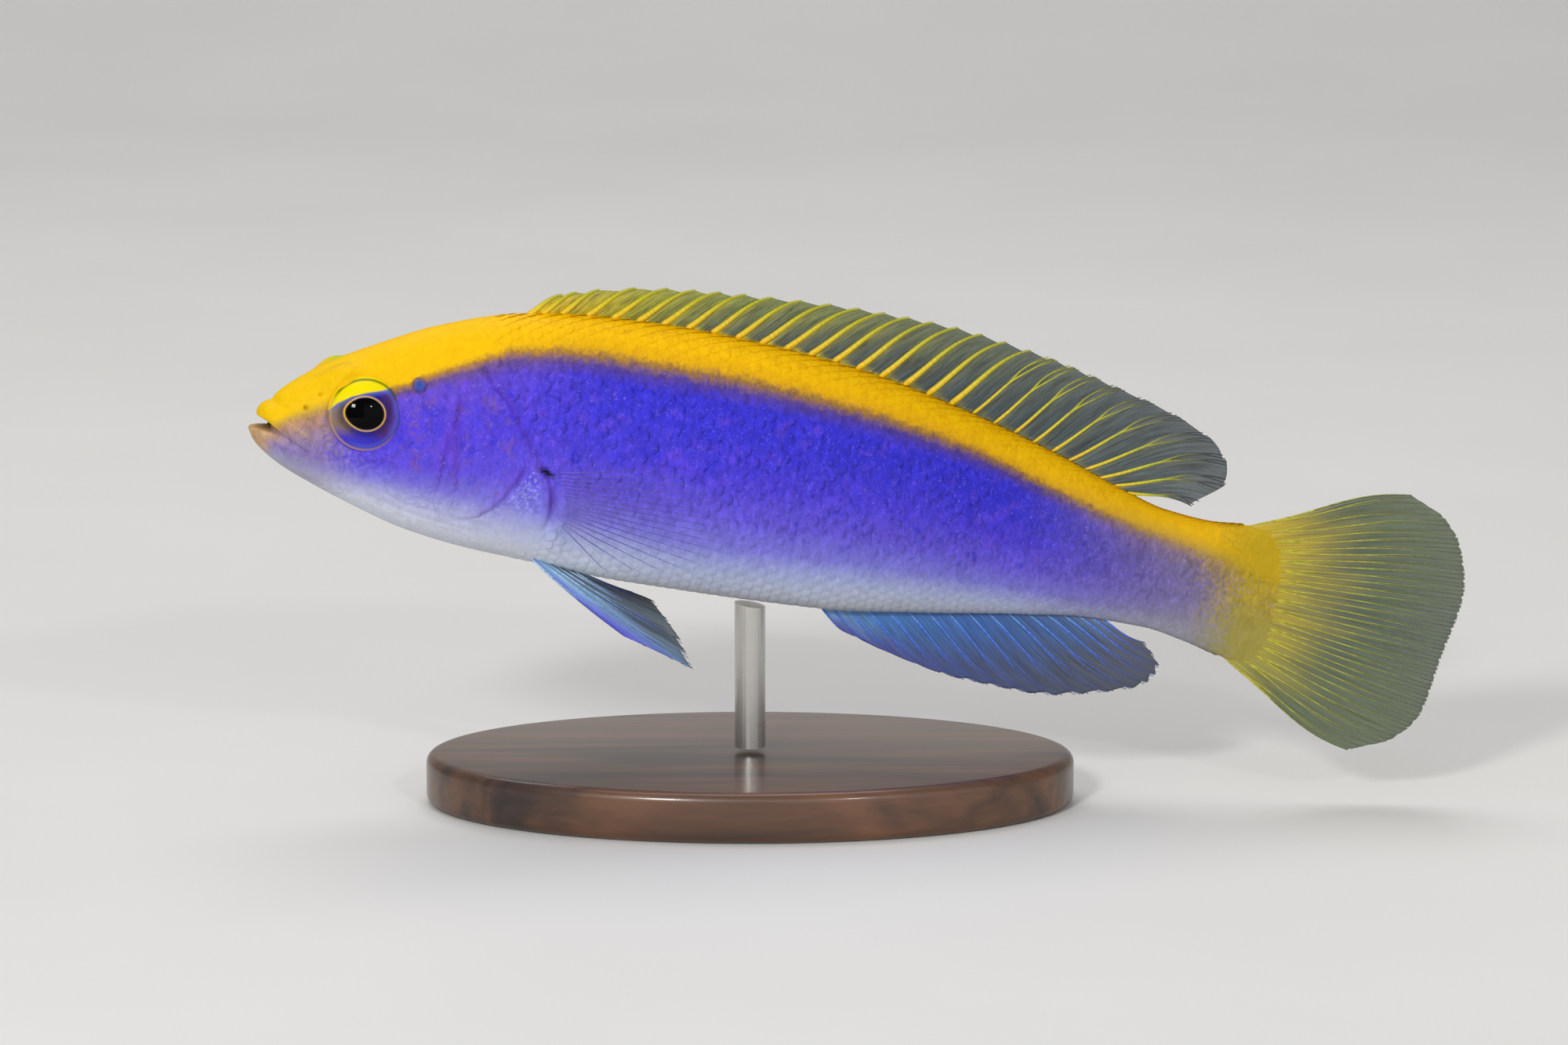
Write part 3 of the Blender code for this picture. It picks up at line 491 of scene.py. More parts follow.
# Painted shade: the colour is made a little darker from mid-body to the tail stalk, and clears again
# at the tail.
rear_shade = add_node(tree, "MapRange", {"Value": station, "From Max": float(BODY[-1, 0])})
rear_shade = add_node(
    tree, "ValToRGB", {"Fac": rear_shade},
    [(0.42, "ffffff"), (0.68, "ececec"), (0.84, "eeeeee"), (0.97, "ffffff")],
)
for factor in (shade, rim, rear_shade):
    colour = add_node(tree, "VectorMath", {0: colour, 1: factor}, operation="MULTIPLY")
bump = add_node(tree, "Math", {0: pale, 1: 0.45}, operation="MULTIPLY")
bump = add_node(tree, "Bump", {"Height": wisps, "Strength": bump, "Distance": 0.00006})
wire(shader, {"Base Color": colour, "Roughness": 0.5, "Specular IOR Level": 0.07, "Normal": bump})

ring = BODY[-1, 0] * (np.arange(RINGS) / (RINGS - 1)) ** RING_CROWDING
ring[0] = 0.02  # the first ring closes round the tip of the snout
turns = np.arange(AROUND) / AROUND * 2 * math.pi
station, turn = (grid.ravel() for grid in np.meshgrid(ring, turns, indexing="ij"))
level_skin = skin_level(station, turn)
back, belly, _, middle = body_at(station)
up = np.cos(turn)
plain_h = middle + up * np.where(up > 0, back - middle, middle - belly)
nose, tail_end = level_skin[:AROUND].mean(axis=0), level_skin[-AROUND:].mean(axis=0)
rows = np.arange(RINGS - 1)[:, None] * AROUND
here, beside = ((rows + np.roll(np.arange(AROUND), -step)).ravel() for step in (0, 1))
faces = np.stack([here, here + AROUND, beside + AROUND, beside], axis=1).tolist()
first, last = RINGS * AROUND, RINGS * AROUND + 1
for k in range(AROUND):
    onward, final = (k + 1) % AROUND, (RINGS - 1) * AROUND
    faces += [[first, k, onward], [last, final + onward, final + k]]
mesh = bpy.data.meshes.new("fish_skin")
mesh.from_pydata(to_row(np.vstack([level_skin, nose, tail_end])), [], faces)
outwards = bmesh.new()
outwards.from_mesh(mesh)
bmesh.ops.recalc_face_normals(outwards, faces=outwards.faces)
outwards.to_mesh(mesh)
outwards.free()
write_markings(
    mesh,
    np.append(station, [0, BODY[-1, 0]]),
    np.append(level_skin[:, 1], [0, 0]),
    np.append(plain_h, [nose[2], tail_end[2]]),
)
skin = add_piece("fish_skin", mesh, skin_finish)
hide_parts("head", "lower_jaw", "trunk", "tail_stalk", "gill_cover_left", "gill_cover_right")
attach(skin, "root")

# The scales. Small rounded plates of clear bone under skin, in slanting rows that overlap towards
# the tail, grown from pockets in the skin. Each keeps the marking of the skin at its root.
SCALES_AROUND = 42
SCALE_STEP = 0.74  # from one ring of scales to the next, as a share of their spacing
HEAD_SCALE = 0.62  # the cheek's scales against the body's
SMALL_SCALE = 0.595  # spacing under which the dark rim of a scale hardly shows
SCALE_LENGTH, SCALE_BREADTH = 1.3, 1.14  # of one scale, in spacings
SCALE_LIFT, SCALE_ROOT = 0.045, -0.06


def one_scale():
    """A scale one spacing across: front buried, rear edge rounded and lying on the next scale."""
    along, across = 6, 5
    u, v = np.meshgrid(np.linspace(0, 1, along), np.linspace(-1, 1, across), indexing="ij")
    half = 0.5 * SCALE_BREADTH * np.sqrt(np.clip(1 - ((u - 0.5) / 0.62) ** 2, 0, 1))
    x = (u - 0.42) * SCALE_LENGTH - 0.1 * v ** 2 * (u > 0.5)
    crown = np.interp(u, [0, 0.85, 1], [SCALE_ROOT, SCALE_LIFT, 0.75 * SCALE_LIFT])
    z = crown - 0.055 * (half * v * 2) ** 2
    verts = np.stack([x, half * v, z], axis=-1).reshape(-1, 3)
    faces = [
        (i * across + j, (i + 1) * across + j, (i + 1) * across + j + 1, i * across + j + 1)
        for i in range(along - 1) for j in range(across - 1)
    ]
    mesh = bpy.data.meshes.new("one_scale")
    mesh.from_pydata(verts, [], faces)
    rim = np.maximum(over(u, 0.75, 0.25), 0.8 * over(np.abs(v), 0.6, 0.4) * over(u, 0.4, 0.3))
    write_attributes(mesh, rim=rim.ravel(), spot=verts)
    return mesh


def scale_seats(pitch, start, end, wanted):
    """Roots of the scales, ring by ring, as station and turn, with their spacing."""
    seats, s, odd = [], start, 0
    count = round(SCALES_AROUND / pitch)
    while s < end:
        spacing = float(girth_at(s)) / count
        turn = (np.arange(count) + 0.5 * odd) / count * 2 * math.pi
        seats.append(np.stack([np.full(count, s), turn, np.full(count, spacing)], axis=1))
        s, odd = s + spacing * SCALE_STEP, 1 - odd
    seats = np.concatenate(seats)
    return seats[wanted(*skin_level(seats[:, 0], seats[:, 1]).T)]


def on_body(s, y, h):
    """Scales cover the body behind the gill, but not the lobe and slit over the pectoral fin."""
    lobe = (hump(s - 17.6, 1.3) * hump(h + 1.2, 2.2) > 0.5) & (np.abs(y) > 1)
    slit = (np.abs(s - 16.8) < 1.1) & (np.abs(h - 0.45) < 0.75) & (np.abs(y) > 1)
    return (s > gill_station(h) + 0.35) & ~lobe & ~slit


def on_cheek(s, y, h):
    """Small scales lie under the yellow between eye and gill, beside the cheek's folds."""
    near_groove = sum(np.abs(fold - 0.1) < 0.25 for fold in folds(s, h)) > 0
    return ((s < cover_station(h) - 0.45) & (h > -2.6) & (h < curve_through(YELLOW_LINE, s) - 0.1)
            & (eye_distance(s, h) > 2.75) & ~near_groove & (np.abs(y) > 1))


def new_tree(name, **inputs):
    """A Geometry Nodes tree for a shape and a finish, with further named inputs of its own."""
    tree = bpy.data.node_groups.new(name, "GeometryNodeTree")
    for label, kind in {"Geometry": "Geometry", **inputs, "Finish": "Material"}.items():
        tree.interface.new_socket(label, in_out="INPUT", socket_type="NodeSocket" + kind)
    tree.interface.new_socket("Geometry", in_out="OUTPUT", socket_type="NodeSocketGeometry")
    return tree, add_node(tree, "NodeGroupInput").outputs


def close_tree(tree, grown, finish):
    """Makes what a tree has grown plain mesh in its finish."""
    plain = add_node(tree, "GeometryNodeRealizeInstances", {"Geometry": grown})
    finished = add_node(tree, "GeometryNodeSetMaterial", {"Geometry": plain, "Material": finish})
    add_node(tree, "NodeGroupOutput", {0: finished})
    return tree


def scale_tree():
    """Sets one scale on every seat, turned to its lie."""
    tree, given = new_tree("scale_coat", Scale="Object")
    rearward, outward, spacing = (
        add_node(tree, "GeometryNodeInputNamedAttribute", {"Name": name}, data_type=kind)
        for name, kind in (("rearward", "FLOAT_VECTOR"), ("outward", "FLOAT_VECTOR"),
                           ("spacing", "FLOAT"))
    )
    turned = add_node(
        tree, "FunctionNodeAxesToRotation", {0: outward, 1: rearward},
        primary_axis="Z", secondary_axis="X",
    )
    plate = add_node(tree, "GeometryNodeObjectInfo", {"Object": given["Scale"]})
    points = add_node(tree, "GeometryNodeMeshToPoints", {"Mesh": given["Geometry"]})
    placed = add_node(
        tree, "GeometryNodeInstanceOnPoints",
        {"Points": points, "Instance": plate.outputs["Geometry"], "Rotation": turned,
         "Scale": spacing},
    )
    return close_tree(tree, placed, given["Finish"])


def plain_mesh(piece):
    """What an object's modifiers make, as a mesh of its own."""
    graph = bpy.context.evaluated_depsgraph_get()
    return bpy.data.meshes.new_from_object(
        piece.evaluated_get(graph), preserve_all_data_layers=True, depsgraph=graph
    )


def grow(name, seed, tree, **inputs):
    """Runs a node tree on a mesh and keeps what it makes as a piece of plain mesh."""
    piece = add_piece(name, seed)
    modifier = piece.modifiers.new(tree.name, "NODES")
    modifier.node_group = tree
    for item in tree.interface.items_tree:
        if item.in_out == "INPUT" and item.name in inputs:
            modifier[item.identifier] = inputs[item.name]
    bpy.context.view_layer.update()
    mesh = plain_mesh(piece)
    piece.modifiers.clear()
    piece.data = mesh
    mesh.name = name
    mesh.shade_smooth()
    return piece


def read_attribute(mesh, name):
    attribute = mesh.attributes[name]
    key, width = ("value", 1) if attribute.data_type == "FLOAT" else ("vector", 3)
    values = np.empty(len(attribute.data) * width, np.float32)
    attribute.data.foreach_get(key, values)
    return values.reshape(-1, width) if width > 1 else values


plate = bpy.data.objects.new("one_scale", one_scale())
coat_tree = scale_tree()
seats = np.concatenate(
    [scale_seats(1.0, 12.6, 58.6, on_body), scale_seats(HEAD_SCALE, 8.4, 17.2, on_cheek)]
)
station, turn, spacing = seats.T
root = skin_level(station, turn)
step = 0.05
seat = to_row(root)
rearward = to_row(skin_level(station + step, turn)) - seat
sideways = to_row(skin_level(station, turn + step)) - seat
outward = np.cross(sideways, rearward)
centre = to_row(np.stack([root[:, 0], 0 * root[:, 1], body_at(root[:, 0])[3]], axis=1))
outward *= np.sign(((seat - centre) * outward).sum(axis=1))[:, None]
outward /= np.linalg.norm(outward, axis=1)[:, None]
rearward /= np.linalg.norm(rearward, axis=1)[:, None]
UNWRAP = 0.0145  # one millimetre on the unwrap
PATCH = 0.003  # one scale on it
for label, here in (("left", root[:, 1] <= 0), ("right", root[:, 1] > 0)):
    seed = bpy.data.meshes.new("scale_seats")
    seed.from_pydata(seat[here], [], [])
    write_attributes(
        seed, rearward=rearward[here], outward=outward[here], spacing=spacing[here] / 1000,
        station=station[here], turn=turn[here],
    )
    coat = grow("scales_" + label, seed, coat_tree, Scale=plate, Finish=skin_finish)
    mesh = coat.data
    spot, rim, apart, at, turned = (
        read_attribute(mesh, name) for name in ("spot", "rim", "spacing", "station", "turn")
    )
    apart *= 1000
    round_by = spot[:, 1] * apart * 2 * math.pi / girth_at(at)
    marked = skin_level(at + spot[:, 0] * apart, turned + round_by)
    write_markings(mesh, *marked.T)
    rim *= np.where(apart < SMALL_SCALE, 0.4, 1)
    mesh.attributes["rim"].data.foreach_set("value", rim.astype(np.float32))
    turned = np.where(turned > math.pi, 2 * math.pi - turned, turned)
    unwrap = np.stack(
        [0.06 + at * UNWRAP + PATCH * spot[:, 0], 0.05 + 0.9 * turned / math.pi + PATCH * spot[:, 1]],
        axis=1,
    )
    corners = np.empty(len(mesh.loops), np.int32)
    mesh.loops.foreach_get("vertex_index", corners)
    mesh.uv_layers.new(name="OFBake").data.foreach_set("uv", unwrap[corners].ravel())
    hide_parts("trunk")
    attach(coat, "root")
bpy.data.objects.remove(plate)

# The eyes. Glassy domes set in a fold of skin: a clear wet front over a yellow cap that carries on
# the back's colour, a violet and brown iris and a black pupil in a thin gold ring.
EYE_TURN_UP, EYE_TURN_FORWARD = math.radians(9), math.radians(9)
PUPIL_CENTRE, PUPIL_ACROSS, PUPIL_HIGH = (-0.04, 0.08), 1.07, 0.94
CAP_EDGE = ([-2.1, -1.7, -0.95, -0.2, 0.8, 1.4, 2.2],  # across the eye
            [-0.1, 0.4, 0.92, 1.24, 1.54, 1.85, 2.1])  # and up it

eye_finish, tree, shader = new_finish("wet_eye")
iris = add_node(tree, "Attribute", attribute_name="iris").outputs["Vector"]
across, high, _ = add_node(tree, "SeparateXYZ", {"Vector": iris}).outputs
blotches = add_node(
    tree, "TexNoise", {"Vector": iris, "Scale": 1.1, "Detail": 3.0, "Roughness": 0.6}
)
across = add_node(tree, "Math", {0: blotches, 1: 1.6, 2: across}, operation="MULTIPLY_ADD")
across = add_node(tree, "MapRange", {"Value": across, "From Min": -1.2, "From Max": 2.8})
colour = add_node(
    tree, "ValToRGB", {"Fac": across},
    [(0.05, "8a7a78"), (0.25, "7a6238"), (0.4, "54408c"), (0.58, "3430a8"), (0.78, "54306c"),
     (0.95, "5c48b8")],
)
low = add_node(
    tree, "MapRange", {"Value": high, "From Min": -0.7, "From Max": -1.7},
    interpolation_type="SMOOTHSTEP",
)
patch = add_node(tree, "TexVoronoi", {"Vector": iris, "Scale": 0.8})
patch = add_node(tree, "MapRange", {"Value": patch, "From Min": 0.2, "From Max": 0.05})
layers = [([low], "3c34c4"), ([patch], "8c7a30")]
# The sheen is a painted highlight: pale blue just under the cap's edge and in an arc near the iris's
# rim.
for name, tint in (("dusk", "141448"), ("sheen", "5868c8"), ("cap", "ecd808"), ("gold", "f0c040"),
                   ("pupil", "010102"), ("lid", "50600c"), ("hoop", "c89c58")):
    there = add_node(tree, "Attribute", attribute_name=name).outputs["Fac"]
    layers.append(([there], tint))
wire(shader, {
    "Base Color": lay_over(tree, colour, layers), "Roughness": 0.4, "Specular IOR Level": 0.0,
    "Coat Weight": 0.15, "Coat Roughness": 0.02,
})


def turned_by(angle, along, across):
    """Two coordinates turned by an angle, from the second towards the first."""
    return (along * math.cos(angle) + across * math.sin(angle),
            across * math.cos(angle) - along * math.sin(angle))


for side, label in ((-1, "left"), (1, "right")):
    ball = bmesh.new()
    bmesh.ops.create_uvsphere(ball, u_segments=160, v_segments=110, radius=1.0)
    unit = np.array([vertex.co for vertex in ball.verts])
    a, b = unit[:, 0] * EYE_RADIUS, unit[:, 1] * EYE_RADIUS
    from_pupil = np.hypot((a - PUPIL_CENTRE[0]) / PUPIL_ACROSS, (b - PUPIL_CENTRE[1]) / PUPIL_HIGH)
    from_pupil /= 1 + 0.12 * hump(a + 1.2, 0.5) * hump(b, 0.6)  # the pupil has a blunt point in front
    front = unit[:, 2] > 0
    depth = unit[:, 2] * EYE_HALF_DEPTH + 0.1 * hump(from_pupil, 1.3) * front
    up, out = turned_by(EYE_TURN_UP, b, depth)
    out, back = turned_by(EYE_TURN_FORWARD, out, a)
    level_eye = np.stack(
        [EYE_PLACE[0] + back, side * (EYE_PLACE[2] + out), EYE_PLACE[1] + up], axis=1
    )
    mesh = bpy.data.meshes.new("eye_" + label)
    ball.to_mesh(mesh)
    ball.free()
    mesh.vertices.foreach_set("co", to_row(level_eye).astype(np.float32).ravel())
    if side < 0:
        mesh.flip_normals()
    over_cap, from_middle = b - np.interp(a, *CAP_EDGE), np.hypot(a, b)
    # Painted highlight: a pale blue sheen just under the cap's edge and in an arc near the iris's rim.
    sheen = 0.6 * hump(over_cap + 0.1, 0.12) + 0.5 * hump(from_middle - 1.8, 0.13) * over(a, -1, 1)
    rim, slant = hump(from_middle - 2.0, 0.07), b + 0.4 * a
    write_attributes(
        mesh, iris=np.stack([a, b, np.full(len(a), 3.0 + side)], axis=1),
        cap=over(over_cap, -0.06, 0.12) * front, sheen=sheen * front,
        dusk=0.6 * hump(from_pupil - 1.15, 0.3) * front,
        gold=hump(from_pupil - 1.03, 0.035) * front,
        pupil=(1 - over(from_pupil, 0.95, 0.05)) * front,
        lid=0.9 * rim * over(slant, -0.5, 1.0), hoop=0.7 * rim * (1 - over(slant, -0.7, 1.0)),
    )
    eye = add_piece("eye_ball_" + label, mesh, eye_finish)
    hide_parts("eye_" + label)
    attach(eye, "root")

# The fins. Each is a skin a twentieth of a millimetre thick, stretched between horny rays that
# spring from the body and fork towards the edge. Rays and skin are one growth.
DORSAL = np.array(  # station of a ray's root, then station and height of its tip
    [
        [14.9, 16.7, 10.15], [16.6, 18.6, 10.68], [19.4, 22.4, 11.32], [25.2, 28.4, 11.75],
        [30.2, 34.2, 11.95], [35.0, 39.0, 11.88], [40.8, 44.9, 11.20], [45.7, 50.1, 10.05],
        [47.9, 53.9, 9.00], [49.4, 56.6, 7.50], [50.4, 57.2, 6.00], [51.4, 55.4, 4.05],
    ]
)
ANAL = np.array(
    [
        [35.1, 37.0, -7.10], [36.3, 40.3, -8.00], [39.0, 44.0, -8.65], [42.5, 48.3, -8.75],
        [45.5, 52.2, -7.95], [48.0, 54.9, -6.80], [49.8, 55.4, -5.70], [51.3, 54.3, -4.45],
    ]
)
TAIL_EDGE = np.array(  # height and station along the rear edge
    [
        [-8.41, 67.2], [-7.2, 69.7], [-5.3, 71.0], [-2.0, 71.45], [1.9, 72.0], [4.6, 71.3],
        [6.3, 69.9], [7.18, 67.8],
    ]
)
TAIL_ROOT, TAIL_START = (3.5, -4.3), 58.8
TAIL_BOW = ([0, 0.2, 0.5, 0.8, 1], [0.32, 0.08, 0, -0.12, -0.45])  # share across, offset
TAIL_SWING = ([0, 0.5, 1], [0.05, 0, 0.04])
PECTORAL_ROOT = ((17.3, 0.7), (18.1, -2.5))
PECTORAL = np.array(  # share along the root, then the tip's station, side and height
    [
        [0.0, 23.6, 5.7, 2.10], [0.15, 25.6, 6.5, 1.30], [0.3, 27.0, 7.0, 0.30],
        [0.45, 27.7, 7.2, -0.75], [0.6, 27.8, 7.2, -1.90], [0.75, 26.8, 6.8, -3.15],
        [0.88, 24.8, 6.2, -4.15], [1.0, 21.2, 5.2, -4.75],
    ]
)
PELVIC_ROOT = ((17.15, 1.7), (19.9, 0.8))
PELVIC = np.array(
    [
        [0.0, 23.4, 2.7, -8.70], [0.2, 27.8, 3.2, -10.00], [0.4, 27.2, 3.0, -9.10],
        [0.6, 26.8, 2.6, -8.45], [0.8, 25.9, 2.1, -7.45], [1.0, 24.4, 1.6, -6.95],
    ]
)
SKIN_OF_FIN = 0.05  # thickness of the skin between two rays
RAY_STEPS = 16  # along a whole ray


def bowed(root, tip, share, bow, late=1.0):
    """Points along rays that bow by the given offset, most at their middle or later on."""
    share = share[..., None]
    peak = late / (late + 1)
    arc = share ** late * (1 - share) / (peak ** late * (1 - peak))
    return root + (tip - root) * share + bow * arc


def notch(column, depth):
    """The edge between two rays falls away from the tip of one to below the tip of the next."""
    return depth * (column % 1) ** 0.8


def median_fin(rays, table, foot, bow):
    """A fin in the middle plane; foot gives the height of its base at a station."""
    steps = np.interp(np.arange(rays - 1), [0, 2, rays * 0.6, rays - 2], [0.6, 1.2, 1.15, 0.65])
    shares = np.concatenate([[0], np.cumsum(steps)]) / steps.sum()
    roots = table[0, 0] + shares * (table[-1, 0] - table[0, 0])

    def place(column, share):
        station = np.interp(column, range(rays), roots)
        flat = np.zeros_like(station)
        root = np.stack([station, flat, foot(station)], axis=-1)
        tip = [curve_through(table, station, 1), flat, curve_through(table, station, 2)]
        tip = np.stack(tip, axis=-1)
        length = np.linalg.norm(tip - root, axis=-1)
        depth = 0.75 / length * np.clip(1.15 - column / rays, 0.15, 1)
        lean = np.stack([-0.03 * length, flat, bow * length], axis=-1)
        return bowed(root, tip, share * (1 - notch(column, depth)), lean, 2.0)

    return place


def tail_place(column, share):
    """Rays that leave the stalk's line gently, swing out and flatten again."""
    across = column / (TAIL_RAYS - 1)
    height = TAIL_EDGE[-1, 0] + (TAIL_EDGE[0, 0] - TAIL_EDGE[-1, 0]) * across
    flat = np.zeros_like(across)
    root_height = TAIL_ROOT[0] + (TAIL_ROOT[1] - TAIL_ROOT[0]) * across
    root = np.stack([flat + TAIL_START, flat, root_height], axis=-1)
    tip = np.stack([curve_through(TAIL_EDGE, height), flat, height], axis=-1)
    outward = np.stack([flat, flat, np.interp(across, *TAIL_BOW)], axis=-1)
    share = share * (1 - notch(4 * column, 0.012))
    placed = bowed(root, tip, share, outward)
    swing = np.interp(across, *TAIL_SWING) * np.sin(2 * math.pi * share)
    placed[:, 2] -= swing * (tip - root)[:, 2]
    return placed


def pectoral_place(column, share):
    across = column / (PECTORAL_RAYS - 1)
    (top_s, top_h), (low_s, low_h) = PECTORAL_ROOT
    station, height = top_s + (low_s - top_s) * across, top_h + (low_h - top_h) * across
    back, belly, half_width, middle = body_at(station)
    rise = np.where(height > middle, (height - middle) / (back - middle),
                    (middle - height) / (middle - belly))
    side = half_width * (1 - rise ** 2) ** (BELLY_POWER / 2)
    side += fin_lobe(station, height) + 0.12
    root = np.stack([station, side, height], axis=-1)
    tip = np.stack([curve_through(PECTORAL, across, k) for k in (1, 2, 3)], axis=-1)
    return bowed(root, tip, share * (1 - notch(column, 0.03)), np.array([0, 0.35, 0]))


def pelvic_place(column, share):
    across = column / (PELVIC_RAYS - 1)
    station, side = (
        PELVIC_ROOT[0][k] + (PELVIC_ROOT[1][k] - PELVIC_ROOT[0][k]) * across for k in (0, 1)
    )
    back, belly, half_width, middle = body_at(station)
    rise = 1 - np.sqrt(1 - (side / half_width) ** (2 / BELLY_POWER))
    root = np.stack([station, side, belly + rise * (middle - belly) + 0.1], axis=-1)
    tip = np.stack([curve_through(PELVIC, across, k) for k in (1, 2, 3)], axis=-1)
    return bowed(root, tip, share * (1 - notch(column, 0.05)), np.array([0, 0.1, -0.15]))


def web_mesh(name, place, rays, side, rows=26):
    """The fin's skin, with the place on it kept as ray number and share of the ray's length."""
    across_gap = np.array([0, 0.14, 0.3, 0.46, 0.62, 0.78, 0.9, 0.97])
    columns = np.append((np.arange(rays - 1)[:, None] + across_gap[None, :]).ravel(), rays - 1)
    shares = np.linspace(0, 1, rows)
    column, share = (v.ravel() for v in np.meshgrid(columns, shares, indexing="ij"))
    level = place(column, share)
    sag = 0.05 * np.sin(math.pi * (column % 1)) ** 2 * (1 - share)
    level[:, 1] -= sag * (0.5 if side else 1)
    level[:, 1] *= side or 1
    corner = (np.arange(len(columns) - 1)[:, None] * rows + np.arange(rows - 1)[None, :]).ravel()
    faces = np.stack([corner, corner + rows, corner + rows + 1, corner + 1], axis=1)
    mesh = bpy.data.meshes.new(name)
    mesh.from_pydata(to_row(level), [], faces.tolist())
    behind_ray = (1 - column % 1) ** 3
    flare = over(1 - share / (0.14 * behind_ray + 0.08), 0, 0.6)
    flare = np.maximum(flare, 0.55 * behind_ray * (1 - over(share, 0.5, 0.5)))
    flare *= 1 - 0.8 * over(column, 10, 10)
    write_attributes(mesh, web=np.stack([column, share, 0 * share], axis=1), flare=flare)
    return mesh


def ray_lines(name, place, rays, side, forks, thickness, single=0):
    """Centre lines of the rays and their branches; forks are (share, spread in ray gaps).
    The first rays stay single, and are thick spines; others swell from a thin root."""
    rise = 0.01 if single else 0.16
    points, edges, thick, web, tone = [], [], [], [], []

    def draw(ray, column_from, column_to, start, end, radius):
        count = max(4, round(RAY_STEPS * (end - start)) + 1)
        share = np.linspace(start, end, count)
        column = column_from + (column_to - column_from) * over(share, start, end - start)
        offset = len(points)
        points.extend(place(np.full(count, float(ray)), share) if column_from == column_to == ray
                      else place_between(np.clip(column, 0, rays - 1), share))
        edges.extend((offset + k, offset + k + 1) for k in range(count - 1))
        full = thickness[0] + (thickness[1] - thickness[0]) * share
        thick.extend(radius * full * (0.3 + 0.7 * over(share, 0, rise)))
        web.extend(np.stack([column, share, np.full(count, float(ray))], axis=1))
        tone.extend(share * (0.55 + 0.6 * over(ray / rays, 0.55, 0.4) * (single > 0)))

    def place_between(column, share):
        """A branch lies in the fin's skin, but runs on to the edge that its ray's tip gives."""
        before = np.floor(column - 1e-6)
        part = (column - before)[:, None]
        return place(before, share) * (1 - part) + place(before + 1, share) * part

    for ray in range(rays):
        spine = 1.8 if ray < single else 1.0
        split = forks if ray >= single else []
        limits = [fork[0] for fork in split] + [1.0]
        draw(ray, ray, ray, 0.0, limits[0], spine)
        branches = [float(ray)]
        for (start, spread), end in zip(split, limits[1:]):
            for branch in branches:
                for way in (-spread, spread):
                    draw(ray, branch, branch + way, start, end, 0.8)
            branches = [branch + way for branch in branches for way in (-spread, spread)]
    level = np.array(points)
    level[:, 1] *= side or 1
    mesh = bpy.data.meshes.new(name)
    mesh.from_pydata(to_row(level), edges, [])
    write_attributes(
        mesh, thickness=np.array(thick) / 1000, web=np.array(web), tone=np.array(tone)
    )
    return mesh


def ray_tree():
    """Gives each line of a ray its thickness."""
    tree, given = new_tree("fin_rays", Sides="Int")
    thickness = add_node(
        tree, "GeometryNodeInputNamedAttribute", {"Name": "thickness"}, data_type="FLOAT"
    )
    lines = add_node(tree, "GeometryNodeMeshToCurve", {"Mesh": given["Geometry"]})
    section = add_node(
        tree, "GeometryNodeCurvePrimitiveCircle", {"Resolution": given["Sides"], "Radius": 1.0}
    )
    rods = add_node(
        tree, "GeometryNodeCurveToMesh",
        {"Curve": lines, "Profile Curve": section, "Scale": thickness, "Fill Caps": True},
    )
    return close_tree(tree, rods, given["Finish"])


def fin_finish(name, rays, base, edge, opacity, streaks=0.35, fade=(0.3, 1.05), flare=None):
    """Clear horny fin skin. Colours run from the first ray to the last, at the base and the edge."""
    material, tree, shader = new_finish(name)
    web = add_node(tree, "Attribute", attribute_name="web").outputs["Vector"]
    column, share, _ = add_node(tree, "SeparateXYZ", {"Vector": web}).outputs
    fibres = add_node(tree, "Mapping", {"Vector": web, "Scale": (9.0, 2.2, 1.0)})
    fibres = add_node(
        tree, "TexNoise", {"Vector": fibres, "Scale": 1.0, "Detail": 4.0, "Roughness": 0.7}
    )
    clouds = add_node(tree, "Mapping", {"Vector": web, "Scale": (0.8, 2.5, 1.0)})
    clouds = add_node(tree, "TexNoise", {"Vector": clouds, "Scale": 1.0, "Detail": 3.0})
    along = add_node(tree, "MapRange", {"Value": column, "From Max": float(rays - 1)})
    base, edge = (add_node(tree, "ValToRGB", {"Fac": along}, stops) for stops in (base, edge))
    out, thinner = (
        add_node(tree, "Math", {0: noise, 1: 0.5, 2: share}, operation="MULTIPLY_ADD")
        for noise in (clouds, fibres)
    )
    out = add_node(
        tree, "MapRange", {"Value": out, "From Min": fade[0], "From Max": fade[1]},
        interpolation_type="SMOOTHSTEP",
    )
    layers = [([out], edge)]
    if flare:
        there = add_node(tree, "Attribute", attribute_name="flare").outputs["Fac"]
        layers.append(([there], flare))
    shade = add_node(
        tree, "MapRange",
        {"Value": fibres, "From Min": 0.3, "From Max": 0.7, "To Min": 1 - streaks,
         "To Max": 1 + streaks},
    )
    colour = add_node(
        tree, "VectorMath", {0: lay_over(tree, base, layers), 1: shade}, operation="MULTIPLY"
    )
    alpha = add_node(
        tree, "MapRange",
        {"Value": thinner, "From Min": 0.25, "From Max": 1.25, "To Min": opacity[0],
         "To Max": opacity[1]},
    )
    wire(shader, {"Base Color": colour, "Alpha": alpha, "Roughness": 0.35})
    return material


